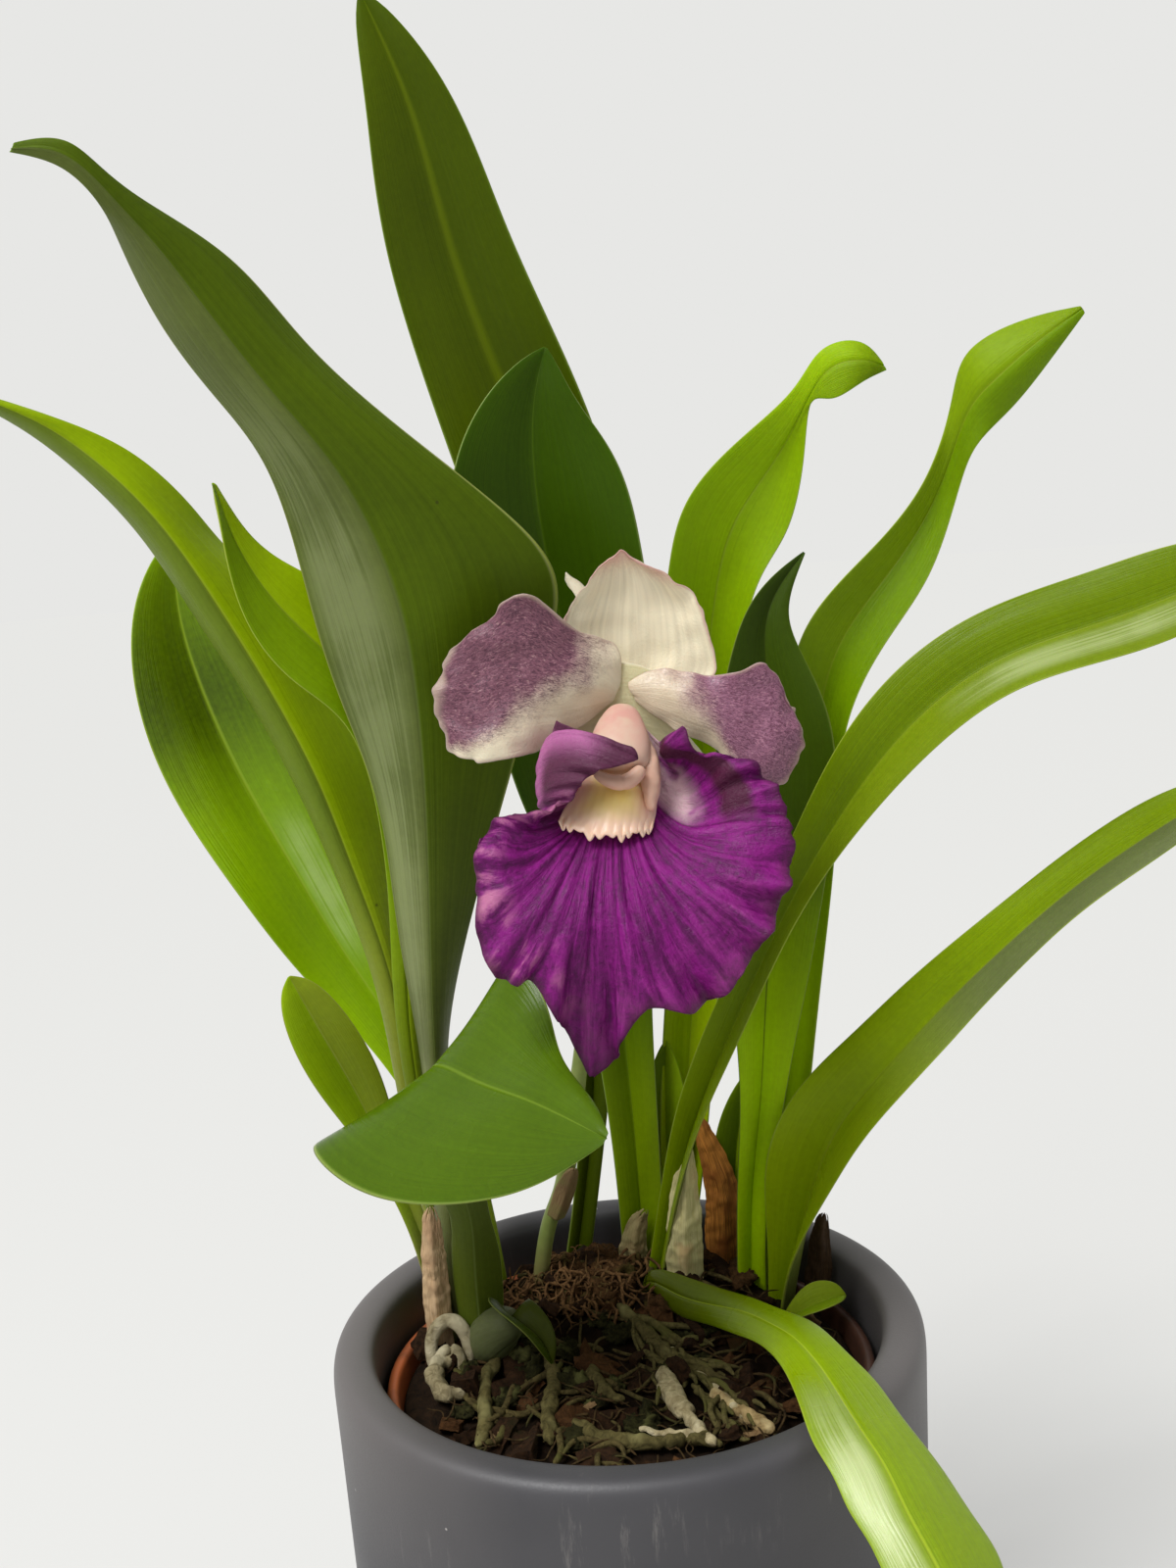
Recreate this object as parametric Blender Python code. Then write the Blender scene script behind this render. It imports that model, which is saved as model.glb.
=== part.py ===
"""Potted orchid: strap leaves in fans, one open flower, bark potting mix, plastic pot in a ceramic cover pot.
Lengths below are in millimetres; MM turns them into metres. +Z is up, the viewer stands at -Y."""
import bpy
import numpy as np

for old in list(bpy.data.objects):
    bpy.data.objects.remove(old, do_unlink=True)

MM = 0.001
GAP = 0.35                # clearance between separate solids

# cover pot
COVER_R = 65.0            # outside radius at the rim
COVER_FOOT_R = 62.6       # outside radius near the base
COVER_H = 120.0
COVER_INNER_R = 55.4      # opening
COVER_FLOOR = 9.0
COVER_SIDES = 48

# nursery pot
NURSERY_RIM_R = 54.0
NURSERY_TOP_R = 51.4      # inside radius at the rim
NURSERY_FOOT_R = 41.0
NURSERY_WALL = 1.1
NURSERY_H = 109.0         # height of its rim above the table
NURSERY_SIDES = 40

# potting mix
SOIL_EDGE = 107.0
SOIL_RISE = 10.0
HOLE_EASE = 1.5           # how much wider a stem hole is than the leaf foot in it
HOLE_TOP = 140.0          # stem holes are cut from above this height
STALK_FOOT = 109.0

LEAF_THICK = 0.95
PETAL_THICK = 0.8
FOLD = (38, 40, 34, 28, 24, 22, 20)   # how far each half of a leaf is folded up, base to tip, degrees


def along(values, ts):
    """Smooth curve through evenly spaced values, read at ts from 0 to 1."""
    p = np.array(values, float)
    n = len(p)
    a = np.eye(n)
    b = np.zeros_like(p)
    for i in range(1, n - 1):
        a[i, i - 1:i + 2] = (1, 4, 1)
        b[i] = 6 * (p[i + 1] - 2 * p[i] + p[i - 1])
    m = np.linalg.solve(a, b.reshape(n, -1)).reshape(p.shape)
    x = np.clip(np.asarray(ts, float), 0, 1) * (n - 1)
    i = np.minimum(x.astype(int), n - 2)
    d = x - i
    if p.ndim > 1:
        d = d.reshape(-1, *([1] * (p.ndim - 1)))
    e = 1 - d
    return (m[i] * (e**3 - e) + m[i + 1] * (d**3 - d)) / 6 + p[i] * e + p[i + 1] * d


def evenly(spine, rows):
    """Points at even distances along a smooth curve."""
    dense = along(spine, np.linspace(0, 1, 240))
    arc = np.r_[0, np.cumsum(np.linalg.norm(np.diff(dense, axis=0), axis=1))]
    want = np.linspace(0, arc[-1], rows)
    return np.stack([np.interp(want, arc, dense[:, k]) for k in range(3)], -1)


def blade(half, spine, face, fold=FOLD, cap=20, wave=0.0, waves=3, rows=15, cols=5):
    """Leaf surface: half widths along a spine, folded about the midrib, upper side towards face."""
    t = np.linspace(0, 1, rows)
    centre = evenly(spine, rows)
    run = np.gradient(centre, axis=0)
    run /= np.linalg.norm(run, axis=1)[:, None]
    steps = np.linspace(0, 1, len(face))
    up = np.stack([np.interp(t, steps, np.array(face, float)[:, k]) for k in range(3)], -1)
    up -= run * (up * run).sum(1)[:, None]
    up /= np.linalg.norm(up, axis=1)[:, None]
    side = np.cross(run, up)
    width = np.maximum(along(half, t) * (1 - t**cap)**0.6, 1.0)
    angle = np.radians(along(fold, t))
    grid = np.empty((rows, cols, 3))
    for j, u in enumerate(np.linspace(-1, 1, cols)):
        ripple = wave * u * abs(u) * (width / max(half)) * np.sin(2 * np.pi * waves * t)
        lift = width * abs(u) * np.sin(angle) + ripple
        grid[:, j] = centre + side * (width * u * np.cos(angle))[:, None] + up * lift[:, None]
    return grid


def sheet(net, rows, cols, ruffle=0.0, ruffles=9):
    """Smooth surface through a net of points; ruffle waves its last columns."""
    grid = along(np.array(net, float), np.linspace(0, 1, rows))
    grid = along(grid.transpose(1, 0, 2), np.linspace(0, 1, cols)).transpose(1, 0, 2)
    if ruffle:
        r = np.linspace(0, 1, cols)[None, :]
        a = np.linspace(0, 1, rows)[:, None]
        swing = ruffle * r**3 * np.sin(2 * np.pi * ruffles * a) * np.sin(np.pi * a)
        grid = grid + normals(grid) * swing[..., None]
    return grid


def normals(grid):
    n = np.cross(np.gradient(grid, axis=0), np.gradient(grid, axis=1))
    return n / np.maximum(np.linalg.norm(n, axis=2, keepdims=True), 1e-9)


def shell(grid, thick):
    """Closed solid of even thickness around a surface, split alike on both faces."""
    r, c, _ = grid.shape
    n = normals(grid) * thick / 2
    verts = np.concatenate([(grid + n).reshape(-1, 3), (grid - n).reshape(-1, 3)])
    k = r * c
    faces = []
    for i in range(r - 1):
        for j in range(c - 1):
            a, b = i * c + j, i * c + j + 1
            d, e = b + c, a + c
            faces += [(a, e, d), (a, d, b), (a + k, d + k, e + k), (a + k, b + k, d + k)]
    ring = list(range(c)) + [i * c + c - 1 for i in range(1, r)]
    ring += [(r - 1) * c + j for j in range(c - 2, -1, -1)] + [i * c for i in range(r - 2, 0, -1)]
    for p, q in zip(ring, ring[1:] + ring[:1]):
        faces += [(p, q, q + k), (p, q + k, p + k)]
    return verts, faces


def tube(spine, radii, rows, sides=8, spread=1.0):
    """Closed round bar along a smooth curve; spread widens it sideways."""
    centre = evenly(spine, rows)
    run = np.gradient(centre, axis=0)
    run /= np.linalg.norm(run, axis=1)[:, None]
    hint = np.array((1.0, 0.05, 0.02)) if abs(run[0][0]) < 0.8 else np.array((0.02, 0.05, 1.0))
    one = np.cross(run, hint)
    one /= np.linalg.norm(one, axis=1)[:, None]
    two = np.cross(run, one)
    rad = along(radii, np.linspace(0, 1, rows))
    verts = []
    for c, x, y, r in zip(centre, one, two, rad):
        for k in range(sides):
            turn = 2 * np.pi * k / sides
            verts.append(c + (x * np.cos(turn) + y * np.sin(turn) * spread) * r)
    verts += [centre[0], centre[-1]]
    first, last = rows * sides, rows * sides + 1
    faces = []
    for i in range(rows - 1):
        for k in range(sides):
            a, b = i * sides + k, i * sides + (k + 1) % sides
            faces += [(a, b, b + sides), (a, b + sides, a + sides)]
    for k in range(sides):
        faces.append((first, (k + 1) % sides, k))
        faces.append((last, (rows - 1) * sides + k, (rows - 1) * sides + (k + 1) % sides))
    return verts, faces


def turned(profile, sides):
    """Closed solid of revolution; the profile starts and ends on the axis."""
    verts = [(0, 0, profile[0][1])]
    for r, z in profile[1:-1]:
        for k in range(sides):
            turn = 2 * np.pi * k / sides
            verts.append((r * np.cos(turn), r * np.sin(turn), z))
    verts.append((0, 0, profile[-1][1]))
    rings = len(profile) - 2
    faces = []
    for k in range(sides):
        n = (k + 1) % sides
        faces.append((0, 1 + n, 1 + k))
        faces.append((len(verts) - 1, 1 + (rings - 1) * sides + k, 1 + (rings - 1) * sides + n))
        for i in range(rings - 1):
            a, b = 1 + i * sides + k, 1 + i * sides + n
            faces.append((a, b, b + sides, a + sides))
    return verts, faces


def soil_height(x, y):
    """Top of the potting mix: a low mound towards the back."""
    r = np.hypot(x, y)
    mound = np.exp(-((x / 50)**2 + ((y - 32) / 26)**2))
    return SOIL_EDGE + SOIL_RISE * mound * np.clip(1 - (r / 50)**10, 0, 1)


MATERIALS = {
    "cover_glaze": ((0.045, 0.046, 0.05), 0.55),
    "terracotta_plastic": ((0.45, 0.17, 0.07), 0.45),
    "bark": ((0.12, 0.075, 0.045), 0.9),
    "root_skin": ((0.36, 0.36, 0.27), 0.7),
    "leaf_green": ((0.10, 0.22, 0.015), 0.35),
    "leaf_underside": ((0.20, 0.26, 0.13), 0.5),
    "stalk_green": ((0.28, 0.36, 0.12), 0.5),
    "dry_sheath": ((0.32, 0.22, 0.11), 0.8),
    "petal_mauve": ((0.42, 0.24, 0.34), 0.5),
    "sepal_cream": ((0.76, 0.72, 0.60), 0.5),
    "lip_purple": ((0.22, 0.04, 0.20), 0.45),
    "callus_cream": ((0.75, 0.58, 0.38), 0.45),
    "column_pink": ((0.78, 0.60, 0.52), 0.45),
}
palette = {}
for label, (colour, rough) in MATERIALS.items():
    mat = bpy.data.materials.new(label)
    mat.use_nodes = True
    shader = mat.node_tree.nodes["Principled BSDF"]
    shader.inputs["Base Color"].default_value = (*colour, 1.0)
    shader.inputs["Roughness"].default_value = rough
    palette[label] = mat


def solid(name, shape, material):
    """Put a closed solid in the scene under its own name."""
    verts, faces = shape
    mesh = bpy.data.meshes.new(name)
    mesh.from_pydata([tuple(float(c) * MM for c in v) for v in verts], [],
                     [tuple(int(i) for i in f) for f in faces])
    mesh.update()
    obj = bpy.data.objects.new(name, mesh)
    bpy.context.scene.collection.objects.link(obj)
    mesh.materials.append(palette[material])
    bpy.ops.object.select_all(action="DESELECT")
    obj.select_set(True)
    bpy.context.view_layer.objects.active = obj
    bpy.ops.object.mode_set(mode="EDIT")
    bpy.ops.mesh.select_all(action="SELECT")
    bpy.ops.mesh.normals_make_consistent(inside=False)
    bpy.ops.object.mode_set(mode="OBJECT")
    return obj


# Cover pot: thick wall, rounded lip, slightly narrower foot.
solid("cover_pot", turned([
    (0, 0), (COVER_FOOT_R - 4, 0), (COVER_FOOT_R - 1.2, 1.2), (COVER_FOOT_R, 4),
    (COVER_R - 0.2, COVER_H - 6), (COVER_R - 0.4, COVER_H - 2.4), (COVER_R - 1.3, COVER_H - 0.8),
    (COVER_R - 3, COVER_H), (COVER_INNER_R + 2, COVER_H), (COVER_INNER_R + 0.6, COVER_H - 0.7),
    (COVER_INNER_R, COVER_H - 2.4), (COVER_INNER_R, COVER_FLOOR + 3), (COVER_INNER_R - 3, COVER_FLOOR),
    (0, COVER_FLOOR)], COVER_SIDES), "cover_glaze")

# Nursery pot: thin tapered shell with a small outward rim, standing on the cover pot's floor.
nursery_base = COVER_FLOOR + GAP
solid("nursery_pot", turned([
    (0, nursery_base), (NURSERY_FOOT_R, nursery_base), (NURSERY_TOP_R + 0.4, NURSERY_H - 5),
    (NURSERY_RIM_R - 0.4, NURSERY_H - 4.6), (NURSERY_RIM_R, NURSERY_H - 0.6), (NURSERY_RIM_R - 0.6, NURSERY_H),
    (NURSERY_TOP_R, NURSERY_H), (NURSERY_FOOT_R - NURSERY_WALL, nursery_base + NURSERY_WALL),
    (0, nursery_base + NURSERY_WALL)], NURSERY_SIDES), "terracotta_plastic")

# Leaves: half widths along a spine, or a net whose rows run left margin, midrib, right margin.
LEAVES = {
    # left fan
    "leaf_grey": [
        [(-41, 18, 104), (-37, 14, 104), (-33, 18, 104)],
        [(-42, 16.5, 142), (-38.5, 12, 144), (-34.5, 18, 142)],
        [(-42, 16.5, 173.5), (-38.5, 10.5, 176), (-36.5, 17, 174.5)],
        [(-44.5, 15, 206.5), (-36.5, 6, 208.5), (-29, 14, 206)],
        [(-46, 11, 236.5), (-34.5, 0, 237.5), (-19, 10, 234.5)],
        [(-52, 6, 263), (-34, -6, 263), (-9.5, 5, 260)],
        [(-55.5, 0, 286), (-36, -12, 283.5), (-3.5, 0, 279.5)],
        [(-59.5, -6, 308), (-43, -18, 304.5), (-10.5, -4, 294)],
        [(-67.5, -13, 323), (-52.5, -25, 320), (-29, -12, 311.5)],
        [(-74.5, -21, 336.5), (-61.5, -31, 334), (-46.5, -20, 329.5)],
        [(-77.5, -30, 348.5), (-69.5, -36, 347), (-58.5, -28, 345.5)],
        [(-78, -39, 354), (-75.5, -40, 355), (-73, -38, 356.5)],
        [(-83, -42, 360), (-82, -43, 362), (-81, -43, 364)],
        [(-91.5, -43, 363), (-91, -43, 363.5), (-90.5, -43, 364.5)]],
    "leaf_arch": [
        [(-40.5, 28, 104), (-37.5, 26, 104), (-35.5, 30, 104)],
        [(-46.5, 26, 140), (-44, 23, 141), (-42, 28, 140)],
        [(-49.5, 25, 169.5), (-46, 22, 170.5), (-43.5, 28, 169.5)],
        [(-53, 26, 195.5), (-48.5, 23, 196), (-44, 32, 195)],
        [(-60, 27, 221), (-55, 24, 221.5), (-46, 35, 223)],
        [(-66.5, 27, 240), (-60.5, 23, 241), (-50, 36, 243.5)],
        [(-74.5, 27, 259), (-68, 22, 260), (-57, 36, 262)],
        [(-83, 26, 276), (-76, 20, 277.5), (-63.5, 35, 280)],
        [(-91.5, 24, 293), (-84.5, 18, 294), (-74.5, 32, 290.5)],
        [(-100, 21, 306), (-93.5, 16, 307), (-82, 26, 302)],
        [(-110, 18, 317), (-104.5, 14, 318), (-92, 20, 314)],
        [(-118.5, 14, 324), (-114.5, 11, 324.5), (-105.5, 14, 322)],
        [(-126, 10, 329), (-125.5, 10, 329.5), (-124, 10, 329.5)]],
    "leaf_back_left": dict(half=(4, 4, 6, 8.5, 12, 15, 17, 17.5, 14, 7), wave=1.5,
        spine=[(-31, 34, 105), (-35, 42, 132), (-43, 48, 154), (-53, 52, 175), (-64, 53, 195), (-73, 52, 215),
               (-82, 51, 236), (-89, 50, 257), (-93, 49, 278), (-92, 49, 296)],
        face=[(0.3, -1, 0), (0.2, -1, 0.2)]),
    "leaf_pointed": [
        [(-43, 22, 104), (-40, 20, 104), (-37, 23, 104)],
        [(-45, 21, 147.5), (-42.5, 19.5, 148), (-40.5, 23, 146)],
        [(-47.5, 20.5, 183), (-44.5, 19.5, 183.5), (-42, 22, 182)],
        [(-46.5, 18.5, 213), (-43, 19, 212.5), (-39, 22, 211.5)],
        [(-47, 14, 237.5), (-43, 17, 238.5), (-37.5, 22, 238)],
        [(-51.5, 10, 254.5), (-44.5, 15, 256), (-38.5, 20, 258)],
        [(-60.5, 6, 264.5), (-52.5, 12, 268), (-44.5, 18, 271.5)],
        [(-67.5, 3, 275.5), (-62, 9, 279.5), (-52.5, 14, 283)],
        [(-70.5, 2, 287), (-67.5, 7, 289), (-61, 11, 289.5)],
        [(-71.5, 2, 297), (-70.5, 5, 297.5), (-67.5, 8, 296.5)],
        [(-72.5, 3, 306), (-72.5, 4, 306.5), (-72, 5, 306)]],
    "leaf_short_left": dict(half=(2.5, 3, 3.5, 7.5, 6),
        spine=[(-41, 14, 103), (-44, 13, 130), (-49, 11, 150), (-55, 8, 170), (-61, 5, 186), (-67, 2, 202)],
        face=[(0.3, -1, 0), (0.2, -1, 0.2)]),
    "leaf_bent": [
        [(-37, 12, 104), (-33, 8.5, 104), (-29, 12, 104)],
        [(-38.5, 10, 130), (-33, 5, 130), (-27.5, 10, 130)],
        [(-38, 3, 147), (-33, 1, 146.5), (-29, 5, 146)],
        [(-49, -3, 161), (-36.5, -6, 165.5), (-27, -2, 172)],
        [(-61.5, -16, 171), (-36.5, -17, 185.5), (-20, -14, 205.5)],
        [(-55, -30, 168.5), (-27, -30, 187.5), (-12, -25, 202)],
        [(-39, -41, 167), (-17, -42, 187.5), (-9, -38, 194)],
        [(-18.5, -50, 172), (-8, -51, 186), (-4, -48, 189)],
        [(-2, -58, 183.5), (-1.5, -58, 184.5), (-1, -58, 185.5)]],
    "leaf_bud": dict(half=(1.5, 3, 6.5, 5.5, 1.5), fold=(50, 40, 40), rows=11,
        spine=[(-24, 7.5, 104), (-24.5, 6, 114), (-26, -1.5, 121.5), (-20.5, -5, 119.5), (-17, -7, 113.5)],
        face=[(0.2, 1, 0.1), (0.2, 0.2, 1), (0.6, -0.9, 0.5)]),
    # back leaf
    "leaf_tall": dict(half=(4, 4, 6, 9, 13.5, 17.5, 18.5, 16.5, 13, 7), wave=1.5,
        spine=[(-13, 44, 106), (-5, 48, 150), (-2, 54, 189), (0, 57, 224), (0, 60, 259), (-5, 60, 293),
               (-14, 58, 325), (-23, 54, 356), (-29, 48, 385), (-38, 44, 410)],
        face=[(0.2, -1, 0), (-0.15, -1, 0.1)]),
    # centre fan
    "leaf_broad": dict(half=(6, 7, 8, 9.5, 12, 16.5, 20, 22, 20, 7), wave=1.5,
        spine=[(5, 35, 111), (5, 38, 141), (4, 40, 170), (3, 40, 196), (2, 38, 222), (-1, 36, 247),
               (-4, 34, 271), (-7, 32, 294), (-7, 31, 316), (-3, 30, 331)],
        face=[(0, -1, 0), (0.1, -1, 0.1)]),
    "leaf_back_right": [
        [(9.5, 40, 109), (13, 37, 109), (16.5, 40, 109)],
        [(11.5, 41, 152), (18, 46, 149.5), (23.5, 41, 151)],
        [(15.5, 45, 187.5), (22.5, 50, 185.5), (28.5, 45, 186.5)],
        [(17, 49, 220), (26, 54, 218.5), (33.5, 49, 219)],
        [(18, 51, 253), (29.5, 57, 250.5), (37, 51, 251.5)],
        [(21.5, 52, 278), (33.5, 58, 274.5), (42.5, 52, 274.5)],
        [(27, 52, 295.5), (39, 57, 290.5), (50.5, 52, 287.5)],
        [(39.5, 51, 308.5), (48.5, 55, 303.5), (55, 51, 304)],
        [(52.5, 50, 319), (55, 51, 314.5), (57, 50, 316)],
        [(59.5, 49, 327.5), (61, 48, 323), (61.5, 47, 316.5)],
        [(68, 48, 329), (68, 46, 324.5), (68, 46, 319.5)],
        [(73, 46, 324), (73.5, 46, 323), (74, 46, 322)]],
    "leaf_long_right": dict(half=(4.5, 5, 5.5, 6, 6.5, 8.5, 11, 12, 10, 4), wave=1.5,
        fold=(60, 50, 35, 28, 20, 15),
        spine=[(9, 30, 111), (17, 22, 149), (28, 14, 179), (40, 9, 205), (53, 4, 228), (68, 0, 247),
               (87, -3, 260), (110, -6, 267), (131, -9, 274), (152, -12, 277)],
        face=[(-0.6, -0.7, 0.3), (-0.5, -0.8, 0.5), (-0.2, -0.8, 0.7)]),
    "leaf_drooping": [
        [(1, 23, 108), (4, 21.5, 108), (7, 23, 108)],
        [(6, 20, 115.5), (5.5, 21, 117), (6, 22, 119)],
        [(10.5, 12, 114), (11.5, 12.5, 118), (13.5, 15, 121)],
        [(17.5, 4, 114.5), (19, 5, 118.5), (21, 9, 120.5)],
        [(23, -6, 117), (25.5, -4, 121), (28, 1, 121.5)],
        [(27, -15, 119.5), (30.5, -13, 122.5), (33.5, -8, 123)],
        [(30, -25, 121), (35, -23, 123.5), (39.5, -17, 124)],
        [(31.5, -36, 122), (39, -34, 122), (44.5, -28, 123)],
        [(32, -49, 123.5), (41, -46, 122), (48.5, -38, 122)],
        [(33, -58, 122), (43, -56, 121.5), (51.5, -49, 120.5)],
        [(35.5, -64, 119), (45, -63, 119), (54.5, -57, 117)],
        [(37.5, -69, 115), (46.5, -70, 115.5), (56.5, -65, 113.5)],
        [(40.5, -74, 111), (48, -76, 112), (58, -71, 109)],
        [(43.5, -80, 106), (50, -82, 107.5), (57, -78, 105)],
        [(49.5, -86, 102.5), (51, -87, 103), (53, -86, 102)]],
    # right fan
    "leaf_dark": dict(half=(4.5, 4.5, 5.5, 7, 9.5, 12, 14, 13.5, 7, 2), wave=1,
        spine=[(30, 28, 107), (31, 26, 133), (34, 24, 157), (36, 23, 177), (38, 22, 197), (40, 23, 216),
               (41, 24, 235), (41, 26, 253), (42, 28, 270), (51, 29, 283)],
        face=[(0, -1, 0), (0, -1, 0)]),
    "leaf_twisted": [
        [(31, 29, 105), (35, 31.5, 105), (39, 29, 105)],
        [(34, 28, 150.5), (40, 33, 148), (45, 28, 149.5)],
        [(39.5, 30, 185), (45.5, 35, 183), (50.5, 30, 184.5)],
        [(43, 32, 217), (50, 37, 215.5), (55.5, 32, 216)],
        [(45.5, 33, 244), (53.5, 38, 241.5), (59.5, 33, 243)],
        [(51, 33, 266), (59.5, 38, 261.5), (70, 33, 262.5)],
        [(66.5, 33, 282.5), (72.5, 37, 278.5), (80, 33, 277)],
        [(79, 33, 297), (82.5, 36, 294), (86.5, 33, 294)],
        [(85.5, 34, 313), (88, 32, 309), (90.5, 30, 304)],
        [(89.5, 33, 324), (93, 28, 316.5), (98.5, 30, 311.5)],
        [(100.5, 30, 329.5), (102, 25, 324), (106, 26, 321)],
        [(111, 22, 331), (111.5, 22, 330.5), (112, 22, 329.5)]],
    "leaf_low_right": dict(half=(5, 9, 12, 12.5, 11, 8.5, 7.5, 7.5, 6, 3), wave=1.5,
        fold=(60, 45, 30, 25, 22, 20),
        spine=[(38, 23, 105), (43, 19, 131), (50, 15, 152), (61, 11, 168), (74, 8, 183), (86, 4, 196),
               (99, 1, 208), (112, -2, 218), (126, -5, 227), (140, -8, 233)],
        face=[(-0.8, -0.5, 0.3), (-0.4, -0.7, 0.6), (-0.4, -0.7, 0.6)]),
    "leaf_small_right": dict(half=(2, 2.5, 5, 3), fold=(40, 40), rows=8,
        spine=[(36, 11, 105), (37, 10.5, 110), (42, 9.5, 114), (50, 10, 116)], face=[(0, -0.5, 1), (0, -0.5, 1)]),
    # dry sheaths round the shoots
    "sheath_left": dict(half=(3.5, 4, 3.5, 2), fold=(45, 30), rows=7,
        spine=[(-42.5, 8, 104), (-42.6, 7.5, 118), (-42.4, 7, 132), (-41.9, 6, 146)],
        face=[(0, 1, 0), (0, 1, 0)]),
    "sheath_brown": dict(half=(3, 5, 4.5, 2.5), fold=(40, 30), rows=8,
        spine=[(24, 34, 108), (25, 35, 122), (24, 37, 138), (20, 38, 150)], face=[(0, 1, 0), (0, 1, 0)]),
    "sheath_pale": dict(half=(3, 3.5, 3, 1.5), fold=(45, 30), rows=7,
        spine=[(17, 27, 109), (18, 26, 122), (17, 27, 134), (15, 29, 145)], face=[(0, 1, 0), (0, 1, 0)]),
    "stalk_bract": dict(half=(2.6, 3, 2.6, 1.2), fold=(35, 35), rows=7,
        spine=[(-14.9, 21.7, 133.5), (-13.2, 20.5, 137.5), (-11.6, 19, 142), (-9.5, 15.5, 148.5)],
        face=[(-0.2, 1, 0), (-0.2, 1, 0)]),
}
LEAF_COLOURS = {"leaf_grey": "leaf_underside", "stalk_bract": "stalk_green", "sheath_left": "dry_sheath",
                "sheath_brown": "dry_sheath", "sheath_pale": "dry_sheath"}


def leaf_surface(shape):
    """A leaf's middle surface, from its half widths or from its net."""
    return blade(**shape) if isinstance(shape, dict) else sheet(shape, 2 * len(shape) - 1, 5)


for name, shape in LEAVES.items():
    solid(name, shell(leaf_surface(shape), LEAF_THICK), LEAF_COLOURS.get(name, "leaf_green"))

# Flower organs as nets of points, rows from the base outwards.
PETALS = {
    "dorsal_sepal": ("sepal_cream", 8, 9, [
        [(6.5, -12, 258.5), (7.5, -12, 259), (8, -12, 259.5), (8.5, -12, 259), (9.5, -12, 258.5)],
        [(0, -12, 266.5), (4, -9, 264.5), (10, -8, 263.5), (18, -9, 261.5), (25, -12, 260.5)],
        [(-3, -11, 273.5), (3, -8, 272), (10.5, -7, 271), (19.5, -8, 270), (26.5, -11, 267)],
        [(0.5, -11, 279.5), (5.5, -8, 279.5), (11, -7, 279), (18.5, -8, 277.5), (25, -11, 274)],
        [(4, -11, 283.5), (7, -9, 284.5), (10.5, -8, 284.5), (15, -9, 283), (21, -11, 279.5)],
        [(8, -11, 286.5), (9, -11, 287), (9.5, -11, 287.5), (10.5, -11, 286.5), (11.5, -11, 286)]]),
    "petal_left": ("petal_mauve", 9, 9, [
        [(7.5, -13.3, 261.5), (7, -13.3, 260.5), (6.5, -13.3, 259.5), (6, -13.3, 258.5), (5.5, -13.3, 258)],
        [(7, -14, 269.5), (4, -16, 264.5), (2, -17, 261), (0.5, -16, 257.5), (-1, -15, 253.5)],
        [(-0.5, -16, 273), (-3, -18, 268), (-4.5, -19, 262.5), (-6.5, -18, 256.5), (-7.5, -16, 250)],
        [(-9.5, -21, 281), (-11.5, -19, 272), (-13, -19, 264), (-14.5, -20, 256.5), (-15.5, -21, 249)],
        [(-17.5, -18, 276.5), (-20, -18, 270), (-21.5, -18, 263), (-22.5, -19, 255.5), (-23, -20, 249)],
        [(-25.5, -16, 270.5), (-28, -16, 266), (-29.5, -16, 262), (-29, -16, 257), (-27, -17, 251)]]),
    "petal_right": ("petal_mauve", 9, 9, [
        [(9, -13.3, 261.5), (9, -13.3, 260.5), (9.5, -13.3, 259.5), (10, -13.3, 259), (10, -13.3, 258)],
        [(15, -14, 264), (15.5, -16, 261), (16.5, -17, 258), (17, -17, 255), (17.5, -16, 252)],
        [(23.5, -16, 262.5), (23.5, -18, 259), (24, -19, 255.5), (24, -19, 252), (24.5, -18, 248)],
        [(31.5, -18, 263), (31.5, -18, 257.5), (31, -19, 252.5), (29.5, -20, 248), (27.5, -20, 244.5)],
        [(36, -18, 264), (38, -17, 258), (38.5, -18, 251), (36, -20, 244.5), (32, -21, 240)],
        [(40, -16, 257), (42, -15, 252.5), (43, -15, 248), (41.5, -16, 243), (38.5, -18, 239.5)]]),
    "sepal_left": ("sepal_cream", 7, 5, [
        [(4.3, -10, 257.3), (4.7, -10, 258), (5.1, -10, 258.8)],
        [(1, -4, 266), (3, -3, 267), (5, -3, 267.5)], [(-3, 0, 276.5), (0, 2, 276.5), (3, 3, 276)],
        [(-3.2, 4, 282), (-2.6, 5, 284), (-2, 6, 283)]]),
    "sepal_right": ("sepal_cream", 7, 5, [
        [(10.7, -10, 255.7), (11.3, -10, 256.6), (11.9, -10, 257.4)],
        [(13, -4, 247.5), (15.5, -2, 249.5), (18.5, -2, 251)],
        [(18, 2, 237.5), (21.5, 4, 240), (25, 5, 242)], [(26, 8, 230.5), (27, 8, 231.5), (27.5, 8, 232.5)]]),
}
for name, (colour, rows, cols, net) in PETALS.items():
    solid(name, shell(sheet(net, rows, cols), PETAL_THICK), colour)

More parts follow.
